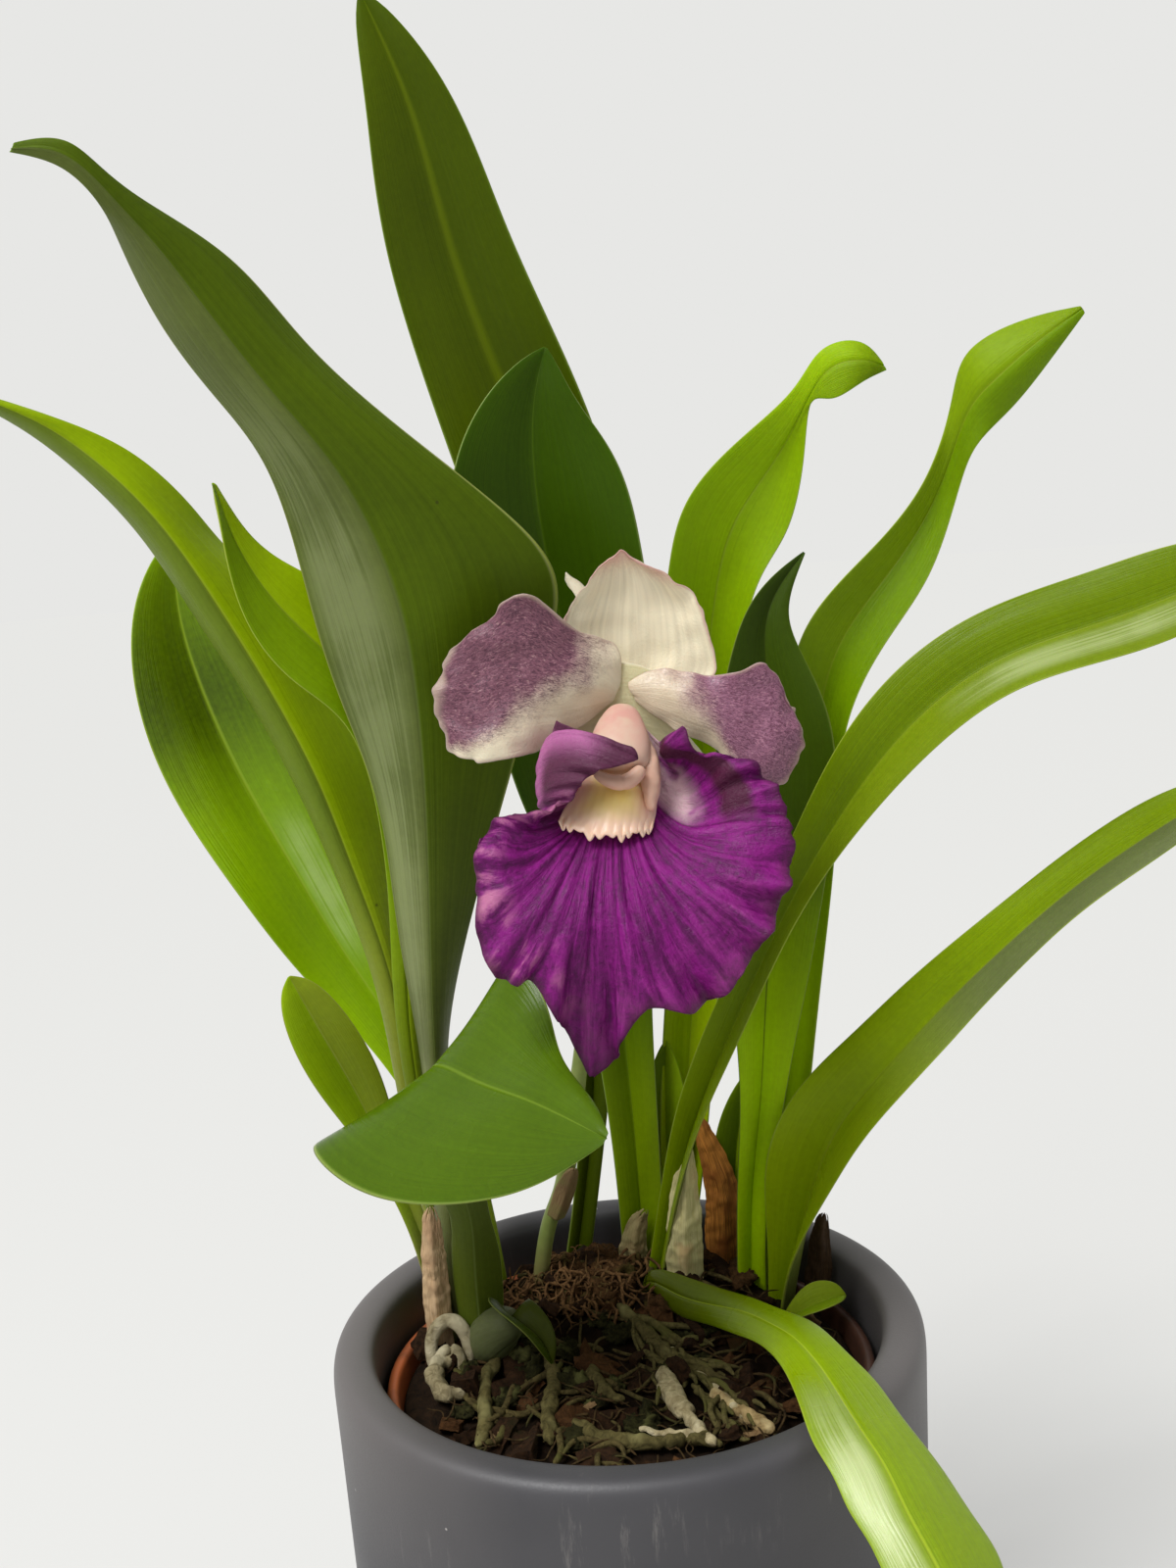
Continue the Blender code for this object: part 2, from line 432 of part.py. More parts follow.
# Lip: ribs run outwards from the throat, from the left side lobe round the bottom to the right one.
LIP = [
    [(5.9, -13.9, 253.8), (-1.3, -16.5, 251.3), (-6, -22, 252.5), (-5.5, -25.5, 256.5)],
    [(3.5, -15, 250.5), (-5, -18, 250.5), (-5.5, -26, 254), (2, -31, 253.5)],
    [(1, -16.5, 247.5), (-8.5, -20, 249.5), (-3.5, -30, 254.5), (9.5, -35, 250)],
    [(-1, -19, 244), (-10, -22, 245), (-5.5, -31.5, 249.5), (3, -35.5, 248)],
    [(-2.5, -21.5, 241), (-10, -24.5, 241), (-7, -32, 244.5), (-1.5, -35, 245.5)],
    [(-4, -24, 238.5), (-9.5, -27, 238.5), (-8, -32, 240), (-6, -34, 241)],
    [(-4.5, -25.5, 237), (-11, -31, 236.5), (-14, -34, 238.5), (-17, -34, 240)],
    [(-4, -26.5, 236), (-12.5, -34, 233), (-17.5, -37.5, 234.5), (-22, -37, 234.5)],
    [(-3, -27, 235.5), (-11, -36, 229), (-17.5, -40, 225.5), (-23.5, -39, 222.5)],
    [(-1.5, -27.5, 235), (-8, -37.5, 226), (-13.5, -41, 217.5), (-19, -41, 209.5)],
    [(0.5, -27.5, 235), (-4, -38, 224), (-7.5, -41, 214.5), (-11, -39, 205)],
    [(2.5, -27.5, 235), (0, -38, 223), (-1, -38.5, 208.5), (-3, -31, 187)],
    [(4.5, -27.5, 235), (4, -38, 223.5), (5, -42, 212.5), (6, -42, 201.5)],
    [(6.5, -27.5, 235), (8, -37, 225), (11.5, -42, 214), (16, -42, 202)],
    [(8.5, -27, 235.5), (11.5, -35.5, 227), (18.5, -41, 218), (25, -42, 207.5)],
    [(10, -26, 236), (14.5, -33.5, 229.5), (23.5, -39, 223), (32.5, -40, 217)],
    [(11, -24.5, 237.5), (17, -31, 232), (26.5, -36, 229.5), (37.5, -36, 227.5)],
    [(11.8, -23, 239), (18.5, -27.5, 234), (28.5, -31, 235.5), (38, -32, 235.5)],
    [(12.3, -21, 241.5), (19, -24, 236.5), (27.5, -28, 241), (35, -28, 242.5)],
    [(12.5, -19, 244.5), (18.5, -21, 240.5), (24.5, -26.5, 246), (28.5, -27, 247.5)],
    [(12.3, -17, 248), (17, -19, 244.5), (19, -25, 248.5), (21.5, -27, 248)],
    [(11.8, -15.5, 251), (15.5, -18.5, 246.5), (14.5, -25, 249), (19, -28, 253.5)],
    [(10.7, -13.7, 253.8), (14, -17, 250), (15, -21, 251), (17.5, -24, 252.5)],
]
solid("lip", shell(sheet(LIP, 45, 7, ruffle=0.5, ruffles=10), PETAL_THICK), "lip_purple")

# Callus: a fan in the throat of the lip, with teeth along its front edge.
TEETH = 10
callus = sheet([
    [(2.6, -17.5, 246.6), (5.5, -18, 246.3), (8.5, -18, 246.3), (11, -17.5, 246.3)],
    [(0.5, -22, 242.8), (3.5, -24.5, 242.4), (8.3, -24.5, 242.2), (11.2, -21, 241.8)],
    [(-3, -26.8, 240.4), (1.5, -29, 238.5), (7, -29, 238), (10.8, -24.8, 239)],
    [(-5, -30, 239), (0, -31, 236.4), (6.5, -31, 236), (10.3, -28.5, 236.8)]], 7, 2 * TEETH + 1)
callus[-1, ::2, 2] += 1.2
callus[-1, 1::2, 2] -= 0.6
solid("callus", shell(callus, 1.0), "callus_cream")

# Column: a short hood over the throat, with its anther cap at the tip.
solid("column", tube([(7.8, -14.8, 257), (6.8, -19.5, 253), (6.4, -24, 249.5), (6.4, -27.5, 246.3)],
                     (1.8, 3.5, 4.2, 3.6), 8, 12, spread=1.4), "column_pink")
solid("anther_cap", tube([(6.4, -27.9, 245.8), (6.3, -28.9, 244.6), (6.2, -29.8, 243.5)],
                         (3.0, 3.3, 1.6), 5, 10, spread=1.2), "callus_cream")

# Flower stalk from the left shoot, and the ovary that carries the flower.
solid("flower_stalk", tube([(-21, 29, STALK_FOOT), (-17, 26, 130), (-12.5, 23, 142), (-8, 17, 165), (-3, 8, 195),
                            (1, 0, 220), (4, -4.5, 240)], (2.2, 1.9, 1.8, 1.8, 1.8), 16), "stalk_green")
solid("ovary", tube([(4.2, -4.7, 240.5), (5.6, -5.6, 247), (7.2, -7.2, 253), (8, -11.1, 258.4)],
                    (1.8, 2.1, 2.3, 2.6), 8), "stalk_green")

# Roots that lie on the potting mix.
ROOTS = {
    "root_knot": (1.7, [(-39, 3), (-43, -1), (-41, -9), (-36, -8)]),
    "root_left": (1.6, [(-29, 4), (-32, -8), (-31, -20), (-33, -29)]),
    "root_mid": (1.6, [(-18, 3), (-17, -8), (-18, -20), (-17, -31)]),
    "root_curl": (1.7, [(-13, -22), (-5, -30), (5, -32.5), (12, -32), (18, -35.5)]),
    "root_long": (1.8, [(-2, 15), (5, 4), (12, -6), (21, -11)]),
    "root_thick": (2.3, [(7, -8), (8.5, -16), (11, -25)]),
    "root_front": (1.6, [(-9, -3), (-7, -10), (-2, -16)]),
    "root_beige": (1.8, [(17, -16), (22, -23), (28, -32)]),
}
for name, (radius, path) in ROOTS.items():
    spine = [(x, y, soil_height(x, y) + radius + GAP) for x, y in path]
    solid(name, tube(spine, (radius * 0.8, radius, radius, radius * 0.7), 9), "root_skin")

# Potting mix: fills the nursery pot, with a plain round hole for each shoot.
foot_r = NURSERY_FOOT_R - NURSERY_WALL - GAP
edge_r = NURSERY_TOP_R - 2 * GAP
soil_base = nursery_base + NURSERY_WALL + GAP
rings = (9, 18, 26, 33, 39, 44, 48)
turns = np.arange(NURSERY_SIDES) * 2 * np.pi / NURSERY_SIDES
verts = [(0, 0, soil_base)]
for radius, level in ((foot_r, soil_base), (edge_r, SOIL_EDGE - 1.5)):
    verts += [(radius * np.cos(a), radius * np.sin(a), level) for a in turns]
for radius in rings[::-1]:
    for a in turns:
        x, y = radius * np.cos(a), radius * np.sin(a)
        verts.append((x, y, soil_height(x, y)))
verts.append((0, 0, soil_height(0, 0)))
bands = 1 + len(rings)
faces = []
for k in range(NURSERY_SIDES):
    n = (k + 1) % NURSERY_SIDES
    faces.append((0, 1 + n, 1 + k))
    faces.append((len(verts) - 1, 1 + bands * NURSERY_SIDES + k, 1 + bands * NURSERY_SIDES + n))
    for i in range(bands):
        a, b = 1 + i * NURSERY_SIDES + k, 1 + i * NURSERY_SIDES + n
        faces += [(a, b, b + NURSERY_SIDES), (a, b + NURSERY_SIDES, a + NURSERY_SIDES)]
substrate = solid("substrate", (verts, faces), "bark")


def stem_hole(name, x, y, radius, floor):
    """Cut one plain round hole down to floor."""
    depth = HOLE_TOP - floor
    bpy.ops.mesh.primitive_cylinder_add(vertices=14, radius=radius * MM, depth=depth * MM,
                                        location=(x * MM, y * MM, (floor + depth / 2) * MM))
    cutter = bpy.context.active_object
    cutter.name = "cut_" + name
    cutter.hide_render = True
    cutter.display_type = "WIRE"
    cut = substrate.modifiers.new("hole_" + name, "BOOLEAN")
    cut.operation = "DIFFERENCE"
    cut.solver = "EXACT"
    cut.object = cutter


for name, shape in LEAVES.items():
    if name == "stalk_bract":
        continue
    foot = leaf_surface(shape)[:2].reshape(-1, 3)
    x, y = foot[:, 0].mean(), foot[:, 1].mean()
    reach = np.hypot(foot[:, 0] - x, foot[:, 1] - y)[:5].max()
    stem_hole(name, x, y, reach + HOLE_EASE, foot[:, 2].min() - GAP)
stem_hole("flower_stalk", -20.2, 28.4, 3.5, STALK_FOOT - 1)
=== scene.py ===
"""Potted orchid, dressed: fans of strap leaves, one open flower, bark mix, a plastic pot in a ceramic one.
Lengths are in millimetres and MM turns them into metres. +Z is up and the viewer stands at -Y."""
import random

import bpy
import numpy as np
from mathutils import Matrix, Vector, noise


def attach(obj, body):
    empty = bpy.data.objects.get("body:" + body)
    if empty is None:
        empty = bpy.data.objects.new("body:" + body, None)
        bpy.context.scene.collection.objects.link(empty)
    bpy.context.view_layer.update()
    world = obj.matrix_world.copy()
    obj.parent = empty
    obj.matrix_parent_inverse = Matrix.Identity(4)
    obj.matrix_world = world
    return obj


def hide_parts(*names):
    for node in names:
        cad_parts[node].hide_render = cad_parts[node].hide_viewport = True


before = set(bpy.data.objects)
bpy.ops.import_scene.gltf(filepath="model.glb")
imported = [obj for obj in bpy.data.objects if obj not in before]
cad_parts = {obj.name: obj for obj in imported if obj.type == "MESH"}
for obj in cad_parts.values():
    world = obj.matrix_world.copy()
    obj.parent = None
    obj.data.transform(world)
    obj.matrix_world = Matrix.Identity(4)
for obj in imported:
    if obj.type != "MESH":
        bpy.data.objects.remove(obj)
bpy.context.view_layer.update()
MM = 0.001

# Studio: a wide pale floor, a pale surround and soft light from above, from the left and the front.
# The surround looks as bright as the far floor, so no horizon shows, and the floor glows a little, which
# keeps the shadow beside the pot pale.


def paint(red, green, blue):
    """A colour picked on a 0 to 255 scale, as the shader's linear value."""
    return (*[((c / 255 + 0.055) / 1.055)**2.4 for c in (red, green, blue)], 1.0)


class Nodes:
    """A shader node tree. All calls but add and link return the socket that their last node puts out."""

    def __init__(self, tree):
        self.tree = tree

    def add(self, kind, sockets=None, **traits):
        """Add a node; a socket gets a plain value, or a link from another node's output."""
        node = self.tree.nodes.new("ShaderNode" + kind)
        for trait, value in traits.items():
            setattr(node, trait, value)
        for socket, value in (sockets or {}).items():
            if isinstance(value, bpy.types.NodeSocket):
                self.link(value, node.inputs[socket])
            else:
                node.inputs[socket].default_value = value
        return node

    def link(self, value, socket):
        """Feed a socket from another node's output."""
        self.tree.links.new(value, socket)

    def place(self):
        """Where a point lies on the piece, in metres."""
        return self.add("TexCoord").outputs["Object"]

    def maths(self, operation, first, second=0.0):
        """Work out one value from two."""
        return self.add("Math", {0: first, 1: second}, operation=operation).outputs[0]

    def plus(self, first, second):
        return self.maths("ADD", first, second)

    def times(self, first, second):
        return self.maths("MULTIPLY", first, second)

    def gap(self, first, second):
        """How far two values lie apart."""
        return self.maths("ABSOLUTE", self.maths("SUBTRACT", first, second))

    def swing(self, value, amount):
        """A value from 0 to 1, set about zero and made amount times as large."""
        return self.times(self.maths("SUBTRACT", value, 0.5), amount)

    def ramp(self, value, low, high, start=0.0, end=1.0, kind="LINEAR"):
        """Go from start to end while a value goes from low to high."""
        return self.add("MapRange", {"Value": value, "From Min": low, "From Max": high, "To Min": start,
                                     "To Max": end}, interpolation_type=kind).outputs[0]

    def ease(self, value, low, high, start=0.0, end=1.0):
        """A ramp that starts and stops gently."""
        return self.ramp(value, low, high, start, end, "SMOOTHSTEP")

    def blend(self, factor, first, second):
        """Mix two colours."""
        mixed = self.add("Mix", {"Factor": factor, "A": first, "B": second}, data_type="RGBA")
        return mixed.outputs["Result"]

    def cloud(self, place, scale, detail, **more):
        """Cloudy noise from 0 to 1."""
        grain = self.add("TexNoise", {"Vector": place, "Scale": scale, "Detail": detail, **more})
        return grain.outputs["Fac"]


class Finish(Nodes):
    """A new material, with its shader's plain sockets set."""

    def __init__(self, name, sockets):
        self.material = bpy.data.materials.new(name)
        self.material.use_nodes = True
        super().__init__(self.material.node_tree)
        self.shader = self.tree.nodes["Principled BSDF"]
        for socket, value in sockets.items():
            self.shader.inputs[socket].default_value = value

    def dress(self, colour, rough=None, height=None, strength=0.5, depth=0.4):
        """Feed the shader a colour, a roughness and a bump, whose depth is in millimetres."""
        self.link(colour, self.shader.inputs["Base Color"])
        if rough is not None:
            self.link(rough, self.shader.inputs["Roughness"])
        if height is not None:
            bump = self.add("Bump", {"Height": height, "Strength": strength, "Distance": depth * MM})
            self.link(bump.outputs[0], self.shader.inputs["Normal"])
        return self.material


surround = bpy.data.worlds.new("surround")
bpy.context.scene.world = surround
surround.use_nodes = True
sky = Nodes(surround.node_tree)
path = sky.add("LightPath").outputs
mirrored = sky.maths("MAXIMUM", path["Is Camera Ray"], path["Is Glossy Ray"])
background = surround.node_tree.nodes["Background"].inputs
background["Color"].default_value = paint(231, 231, 229)
sky.link(sky.ramp(mirrored, 0, 1, 0.42, 1), background["Strength"])
bpy.context.scene.view_settings.view_transform = "Standard"

bpy.ops.object.select_all(action="DESELECT")
bpy.ops.mesh.primitive_circle_add(vertices=64, radius=6, fill_type="NGON", location=(0, 0, 0))
floor = bpy.context.active_object
floor.name = "floor"
floor_paint = Finish("floor_paint", {
    "Base Color": paint(166, 166, 164), "Roughness": 1.0, "Specular IOR Level": 0.0,
    "Emission Color": paint(231, 231, 229), "Emission Strength": 0.5})
floor.data.materials.append(floor_paint.material)

bpy.ops.object.light_add(type="SUN", location=(0, 0, 2))
key = bpy.context.active_object
key.name = "key_lamp"
key.data.energy = 2.62
key.data.angle = 0.4
key.rotation_euler = Vector((-0.5, -0.5, 1.25)).to_track_quat("Z", "Y").to_euler()

bpy.ops.object.light_add(type="AREA", location=(-0.45, -0.55, 0.75))
window = bpy.context.active_object
window.name = "window_lamp"
window.data.shape = "DISK"
window.data.size = 0.4
window.data.energy = 2.2
window.rotation_euler = Vector((-0.45, -0.55, 0.5)).to_track_quat("Z", "Y").to_euler()

# Camera: at the photograph's height and distance, looking a little down, with the small roll that the
# hand-held picture has. The frame is 1200 by 1600.
YAW, PITCH, ROLL = np.radians((-0.06, -9.77, -4.0))
bpy.ops.object.camera_add(location=(0, -342.7 * MM, 298.4 * MM))
camera = bpy.context.active_object
ahead = Vector((np.sin(YAW) * np.cos(PITCH), np.cos(YAW) * np.cos(PITCH), np.sin(PITCH)))
level = ahead.cross(Vector((0, 0, 1))).normalized()
above = level.cross(ahead)
right = level * np.cos(ROLL) + above * np.sin(ROLL)
upward = above * np.cos(ROLL) - level * np.sin(ROLL)
camera.rotation_euler = Matrix((right, upward, -ahead)).transposed().to_euler()
camera.data.lens = 38.25
camera.data.sensor_width = 36
bpy.context.scene.camera = camera

# Cover pot: cast stoneware with a thick rounded rim and a dull dark grey glaze. It is thrown here as one
# ring that is drawn up the outside, over the rim and down the inside.
COVER_PROFILE = [
    (30, 0), (58, 0), (61, 0.8), (62.4, 3), (62.8, 9), (63.8, 60), (64.7, 108), (64.9, 114), (64.7, 117.2),
    (63.8, 119.2), (61.8, 120.1), (59.6, 120.2), (57.4, 119.9), (55.9, 118.8), (55.4, 116.6), (55.4, 108),
    (55.3, 60), (55.2, 14), (54, 10.4), (50, 9), (30, 9)]


def only(piece):
    """Select one piece alone and make it the active one."""
    bpy.ops.object.select_all(action="DESELECT")
    piece.select_set(True)
    bpy.context.view_layer.objects.active = piece


def thrown(name, profile, sides=64):
    """Draw a ring up through a profile of radius and height, then close both ends."""
    bpy.ops.object.select_all(action="DESELECT")
    radius, height = profile[0]
    bpy.ops.mesh.primitive_circle_add(vertices=sides, radius=radius * MM, location=(0, 0, height * MM))
    pot = bpy.context.active_object
    pot.name = name
    bpy.ops.object.transform_apply(location=True, rotation=False, scale=False)
    bpy.ops.object.mode_set(mode="EDIT")
    bpy.ops.mesh.select_mode(type="EDGE")
    bpy.ops.mesh.select_all(action="SELECT")
    for wide, high in profile[1:]:
        bpy.ops.mesh.extrude_edges_move(TRANSFORM_OT_translate={"value": (0, 0, (high - height) * MM)})
        bpy.ops.transform.resize(value=(wide / radius, wide / radius, 1), center_override=(0, 0, high * MM))
        radius, height = wide, high
    bpy.ops.mesh.select_all(action="DESELECT")
    bpy.ops.mesh.select_non_manifold()
    bpy.ops.mesh.fill_holes(sides=0)
    bpy.ops.mesh.select_all(action="SELECT")
    bpy.ops.mesh.normals_make_consistent(inside=False)
    bpy.ops.object.mode_set(mode="OBJECT")
    return pot


def smoothed(piece, levels=1):
    """Round a piece off with a subdivision surface and shade it smooth."""
    only(piece)
    if levels:
        soft = piece.modifiers.new("soft", "SUBSURF")
        soft.levels = levels
        soft.render_levels = levels
        bpy.ops.object.modifier_apply(modifier="soft")
    bpy.ops.object.shade_smooth()
    return piece


def hand_over(piece, finishes, slot, *nodes):
    """Give a piece its finishes, set it on the row's one body and let it stand for its CAD nodes."""
    for finish in finishes:
        piece.data.materials.append(finish)
    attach(piece, "root")
    if nodes:
        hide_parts(*nodes)


def glaze_finish():
    """Dull dark glaze: fine grain, a few pale specks, faint chalky streaks and a painted sheen on the rim's
    sides.
    """
    glaze = Finish("dull_glaze", {"Specular IOR Level": 0.45})
    place = glaze.place()
    upright = glaze.add("Mapping", {"Vector": place, "Scale": (1, 1, 0.12)}).outputs[0]
    haze = glaze.cloud(place, 38, 4)
    streaks = glaze.ramp(glaze.cloud(upright, 420, 6, Roughness=0.75), 0.56, 0.72)
    chalk = glaze.times(glaze.ramp(haze, 0.55, 0.68), streaks)
    dots = glaze.add("TexVoronoi", {"Vector": place, "Scale": 190}).outputs
    speck = glaze.times(glaze.ramp(dots["Distance"], 0.07, 0.03), glaze.ramp(dots["Color"], 0.86, 0.88))
    base = glaze.blend(glaze.ramp(haze, 0.3, 0.7), paint(58, 57, 60), paint(66, 65, 68))
    specked = glaze.blend(speck, glaze.blend(chalk, base, paint(112, 108, 106)), paint(176, 172, 168))
    # Painted sheen: the upper part of the pot's left and right sides is lightened, as where light catches the
    # rim.
    x, _, z = glaze.add("SeparateXYZ", {0: place}).outputs
    sheen_flank = glaze.ramp(glaze.maths("ABSOLUTE", x), 0.022, 0.06)
    tone_mask = glaze.times(sheen_flank, glaze.ramp(z, 0.085, 0.118, 0, 0.75))
    grain = glaze.cloud(place, 2600, 2)
    return glaze.dress(glaze.blend(tone_mask, specked, paint(104, 99, 97)), glaze.ramp(grain, 0, 1, 0.4, 0.58),
                       grain, 0.12, 0.3)


cover_pot = smoothed(thrown("cover_pot_ware", COVER_PROFILE), 2)
hand_over(cover_pot, [glaze_finish()], "cover_glaze", "cover_pot")

# Nursery pot: the thin soft plastic pot that the plant grows in, terracotta coloured, with a turned-out rim.
# It stands on the cover pot's floor and shows as an orange edge inside the grey one, dark brown at the right.
NURSERY_PROFILE = [
    (20, 9.4), (40.4, 9.4), (41, 10), (44, 40), (50.6, 98), (51.8, 104), (53.6, 104.4), (54, 105.2),
    (54, 108.2), (53.5, 109), (51.8, 109.1), (51.3, 108.4), (50.6, 104), (43, 40), (39.9, 10.9),
    (39.3, 10.5), (20, 10.5)]


def terracotta_finish():
    """Terracotta-coloured plastic, dusty all over and dark brown towards the right."""
    plastic = Finish("terracotta_plastic", {"Specular IOR Level": 0.4})
    place = plastic.place()
    tone_mask = plastic.cloud(place, 120, 6)
    clay = plastic.blend(plastic.ramp(tone_mask, 0.45, 0.75), paint(196, 106, 62), paint(118, 72, 50))
    # Darker towards the right: the plastic is painted dark brown on that side.
    dark_right = plastic.ramp(plastic.add("SeparateXYZ", {0: place}).outputs["X"], 0, 0.03, 0, 0.92)
    return plastic.dress(plastic.blend(dark_right, clay, paint(46, 36, 31)), plastic.ramp(tone_mask, 0, 1, 0.35, 0.6),
                         tone_mask, 0.2, 0.4)


nursery_pot = smoothed(thrown("nursery_pot_plastic", NURSERY_PROFILE))
hand_over(nursery_pot, [terracotta_finish()], "terracotta_plastic", "nursery_pot")

# Potting mix: dark damp bark, moss and fibre, heaped a little towards the back. The bed fills the nursery
# pot, and bark chips and tufts of moss lie on it.
SOIL_EDGE = 107
SOIL_RISE = 10
MOUND_WIDTH, MOUND_DEPTH, MOUND_BACK = 50, 26, 32
POT_INSIDE = 50
MIX_RADIUS = 48.5
LUMP_SIZE, LUMP_HEIGHT, LUMP_SINK = 7, 1.6, 1.2
BED_RINGS, BED_SIDES = 50, 121
BED_UNDER = [(50.2, 104.5), (50.6, 103), (48, 80), (44, 45), (39.6, 13), (39.4, 11.2), (20, 10.9), (0, 10.9)]


def soil_height(x, y):
    """Top of the potting mix: a low mound towards the back."""
    r = np.hypot(x, y)
    mound = np.exp(-((x / MOUND_WIDTH)**2 + ((y - MOUND_BACK) / MOUND_DEPTH)**2))
    return SOIL_EDGE + SOIL_RISE * mound * np.clip(1 - (r / POT_INSIDE)**10, 0, 1)


def laid(name, points, joined=False):
    """Lay a grid over rows of points in millimetres; joined welds its long sides and its poles."""
    rows, cols = points.shape[:2]
    bpy.ops.object.select_all(action="DESELECT")
    bpy.ops.mesh.primitive_grid_add(x_subdivisions=cols - 1, y_subdivisions=rows - 1, size=1,
                                    location=(0, 0, 0))
    piece = bpy.context.active_object
    piece.name = name
    piece.data.name = name
    flat = np.empty(rows * cols * 3)
    piece.data.vertices.foreach_get("co", flat)
    flat = flat.reshape(-1, 3)
    i = np.rint((flat[:, 1] + 0.5) * (rows - 1)).astype(int)
    j = np.rint((flat[:, 0] + 0.5) * (cols - 1)).astype(int)
    piece.data.vertices.foreach_set("co", (points[i, j] * MM).ravel())
    piece.data.update()
    if joined:
        bpy.ops.object.mode_set(mode="EDIT")
        bpy.ops.mesh.select_all(action="SELECT")
        bpy.ops.mesh.remove_doubles(threshold=0.02 * MM)
        bpy.ops.mesh.normals_make_consistent(inside=False)
        bpy.ops.object.mode_set(mode="OBJECT")
    return piece


def roughened(piece, depth, size, seed, octaves=3):
    """Push every point of a mesh in or out along its normal by a seeded noise; lengths in millimetres."""
    count = len(piece.data.vertices)
    spots = np.empty(count * 3)
    normal = np.empty(count * 3)
    piece.data.vertices.foreach_get("co", spots)
    piece.data.vertices.foreach_get("normal", normal)
    spots = spots.reshape(-1, 3)
    shift = Vector((seed * 7.3, seed * 3.1, seed * 5.7))
    push = [noise.fractal(Vector(p) / (size * MM) + shift, 1.0, 2.0, octaves) for p in spots]
    spots += normal.reshape(-1, 3) * (np.array(push) * depth * MM)[:, None]
    piece.data.vertices.foreach_set("co", spots.ravel())
    piece.data.update()
    return piece


def surface_group(name, colours, amounts, results=("Color", "Roughness", "Height")):
    """Node group with its inputs and outputs; returns its nodes, what is given to it and its results."""
    group = bpy.data.node_groups.new(name, "ShaderNodeTree")
    for label in colours:
        group.interface.new_socket(label, in_out="INPUT", socket_type="NodeSocketColor")
    for label, amount in amounts.items():
        socket = group.interface.new_socket(label, in_out="INPUT", socket_type="NodeSocketFloat")
        socket.default_value = amount
    for label in results:
        kind = "Color" if label == "Color" else "Float"
        group.interface.new_socket(label, in_out="OUTPUT", socket_type="NodeSocket" + kind)
    given = group.nodes.new("NodeGroupInput").outputs
    result = group.nodes.new("NodeGroupOutput").inputs
    return Nodes(group), given, result


def surfaced(finish, group, colours, amounts, relief, depth):
    """Place a surface group in a finish with its own colours and amounts, and feed the shader from it."""
    surface = finish.tree.nodes.new("ShaderNodeGroup")
    surface.node_tree = group
    for socket, colour in colours.items():
        surface.inputs[socket].default_value = paint(*colour)
    for socket, amount in amounts.items():
        surface.inputs[socket.replace("_", " ").title()].default_value = amount
    outputs = surface.outputs
    return finish.dress(outputs["Color"], outputs.get("Roughness"), outputs["Height"], relief, depth)


def earth_group():
    """Node group for bark, moss and root skin: streaked brown with patches of a second colour."""
    earth, given, result = surface_group(
        "earth_surface", ("Dark", "Light", "Moss"), {"Scale": 500, "Mossy": 0.4}, ("Color", "Height"))
    place = earth.place()
    fibre = earth.cloud(place, given["Scale"], 8, Roughness=0.7, Distortion=0.8)
    patch = earth.cloud(place, earth.times(given["Scale"], 0.22), 3)
    base = earth.blend(earth.ramp(fibre, 0.3, 0.72), given["Dark"], given["Light"])
    spread = earth.times(given["Mossy"], 0.4)
    grown = earth.ramp(patch, earth.maths("SUBTRACT", 0.72, spread), earth.maths("SUBTRACT", 0.86, spread))
    earth.link(earth.blend(grown, base, given["Moss"]), result["Color"])
    earth.link(fibre, result["Height"])
    return earth.tree


earth_surface = earth_group()


def earthy_finish(name, dark, light, moss, scale, rough, mossy):
    """Bark, moss or root skin in its own colours, with a deep uneven bump."""
    finish = Finish(name, {"Specular IOR Level": 0.08, "Roughness": rough})
    return surfaced(finish, earth_surface, {"Dark": dark, "Light": light, "Moss": moss},
                    {"scale": scale, "mossy": mossy}, 0.8, 1.2)


radii = np.r_[np.linspace(0, MIX_RADIUS, BED_RINGS), [radius for radius, _ in BED_UNDER]]
turns = np.linspace(0, 2 * np.pi, BED_SIDES)
bed = np.empty((len(radii), BED_SIDES, 3))
bed[..., 0] = radii[:, None] * np.cos(turns)
bed[..., 1] = radii[:, None] * np.sin(turns)
for ring in bed[:BED_RINGS]:
    for point in ring:
        x, y = point[:2]
        lump = noise.fractal(Vector((x / LUMP_SIZE, y / LUMP_SIZE, 1.5)), 1.0, 2.0, 4)
        point[2] = soil_height(x, y) - LUMP_SINK + LUMP_HEIGHT * lump
bed[BED_RINGS:, :, 2] = [[height] for _, height in BED_UNDER]
bed[:, -1] = bed[:, 0]
bed[-1, :, :2] = 0
bed[0] = bed[0, 0]
mix_bed = smoothed(laid("mix_bed", bed, joined=True), 0)
hand_over(mix_bed, [earthy_finish("damp_mix", (6, 5, 3), (46, 32, 20), (32, 30, 15), 330, 0.9, 0.35)],
          "bark", "substrate")

# Where the shoots stand, so that chips and thin roots keep off them: place and radius.
SHOOTS = [(-37, 15, 8), (-38, 30, 9), (-42, 20, 8), (-30, 10, 8), (-25, 12, 5), (-21, 29, 4), (-13, 44, 7),
          (6, 35, 9), (14, 34, 9), (5, 23, 6), (31, 28, 8), (38, 24, 10), (24, 34, 6), (17, 27, 5),
          (37, 11, 5)]
dice = random.Random(11)


def clear_spot(reach, spare):
    """A random place on the mix, clear of the shoots by a share of their radius."""
    while True:
        x, y = dice.uniform(-reach, reach), dice.uniform(-reach, reach)
        if x * x + y * y > reach * reach:
            continue
        if all((x - a)**2 + (y - b)**2 > (r * spare)**2 for a, b, r in SHOOTS):
            return x, y


def as_one(name, pieces):
    """Join pieces to one."""
    bpy.ops.object.select_all(action="DESELECT")
    for piece in pieces:
        piece.select_set(True)
    bpy.context.view_layer.objects.active = pieces[0]
    bpy.ops.object.join()
    whole = bpy.context.active_object
    whole.name = name
    return whole


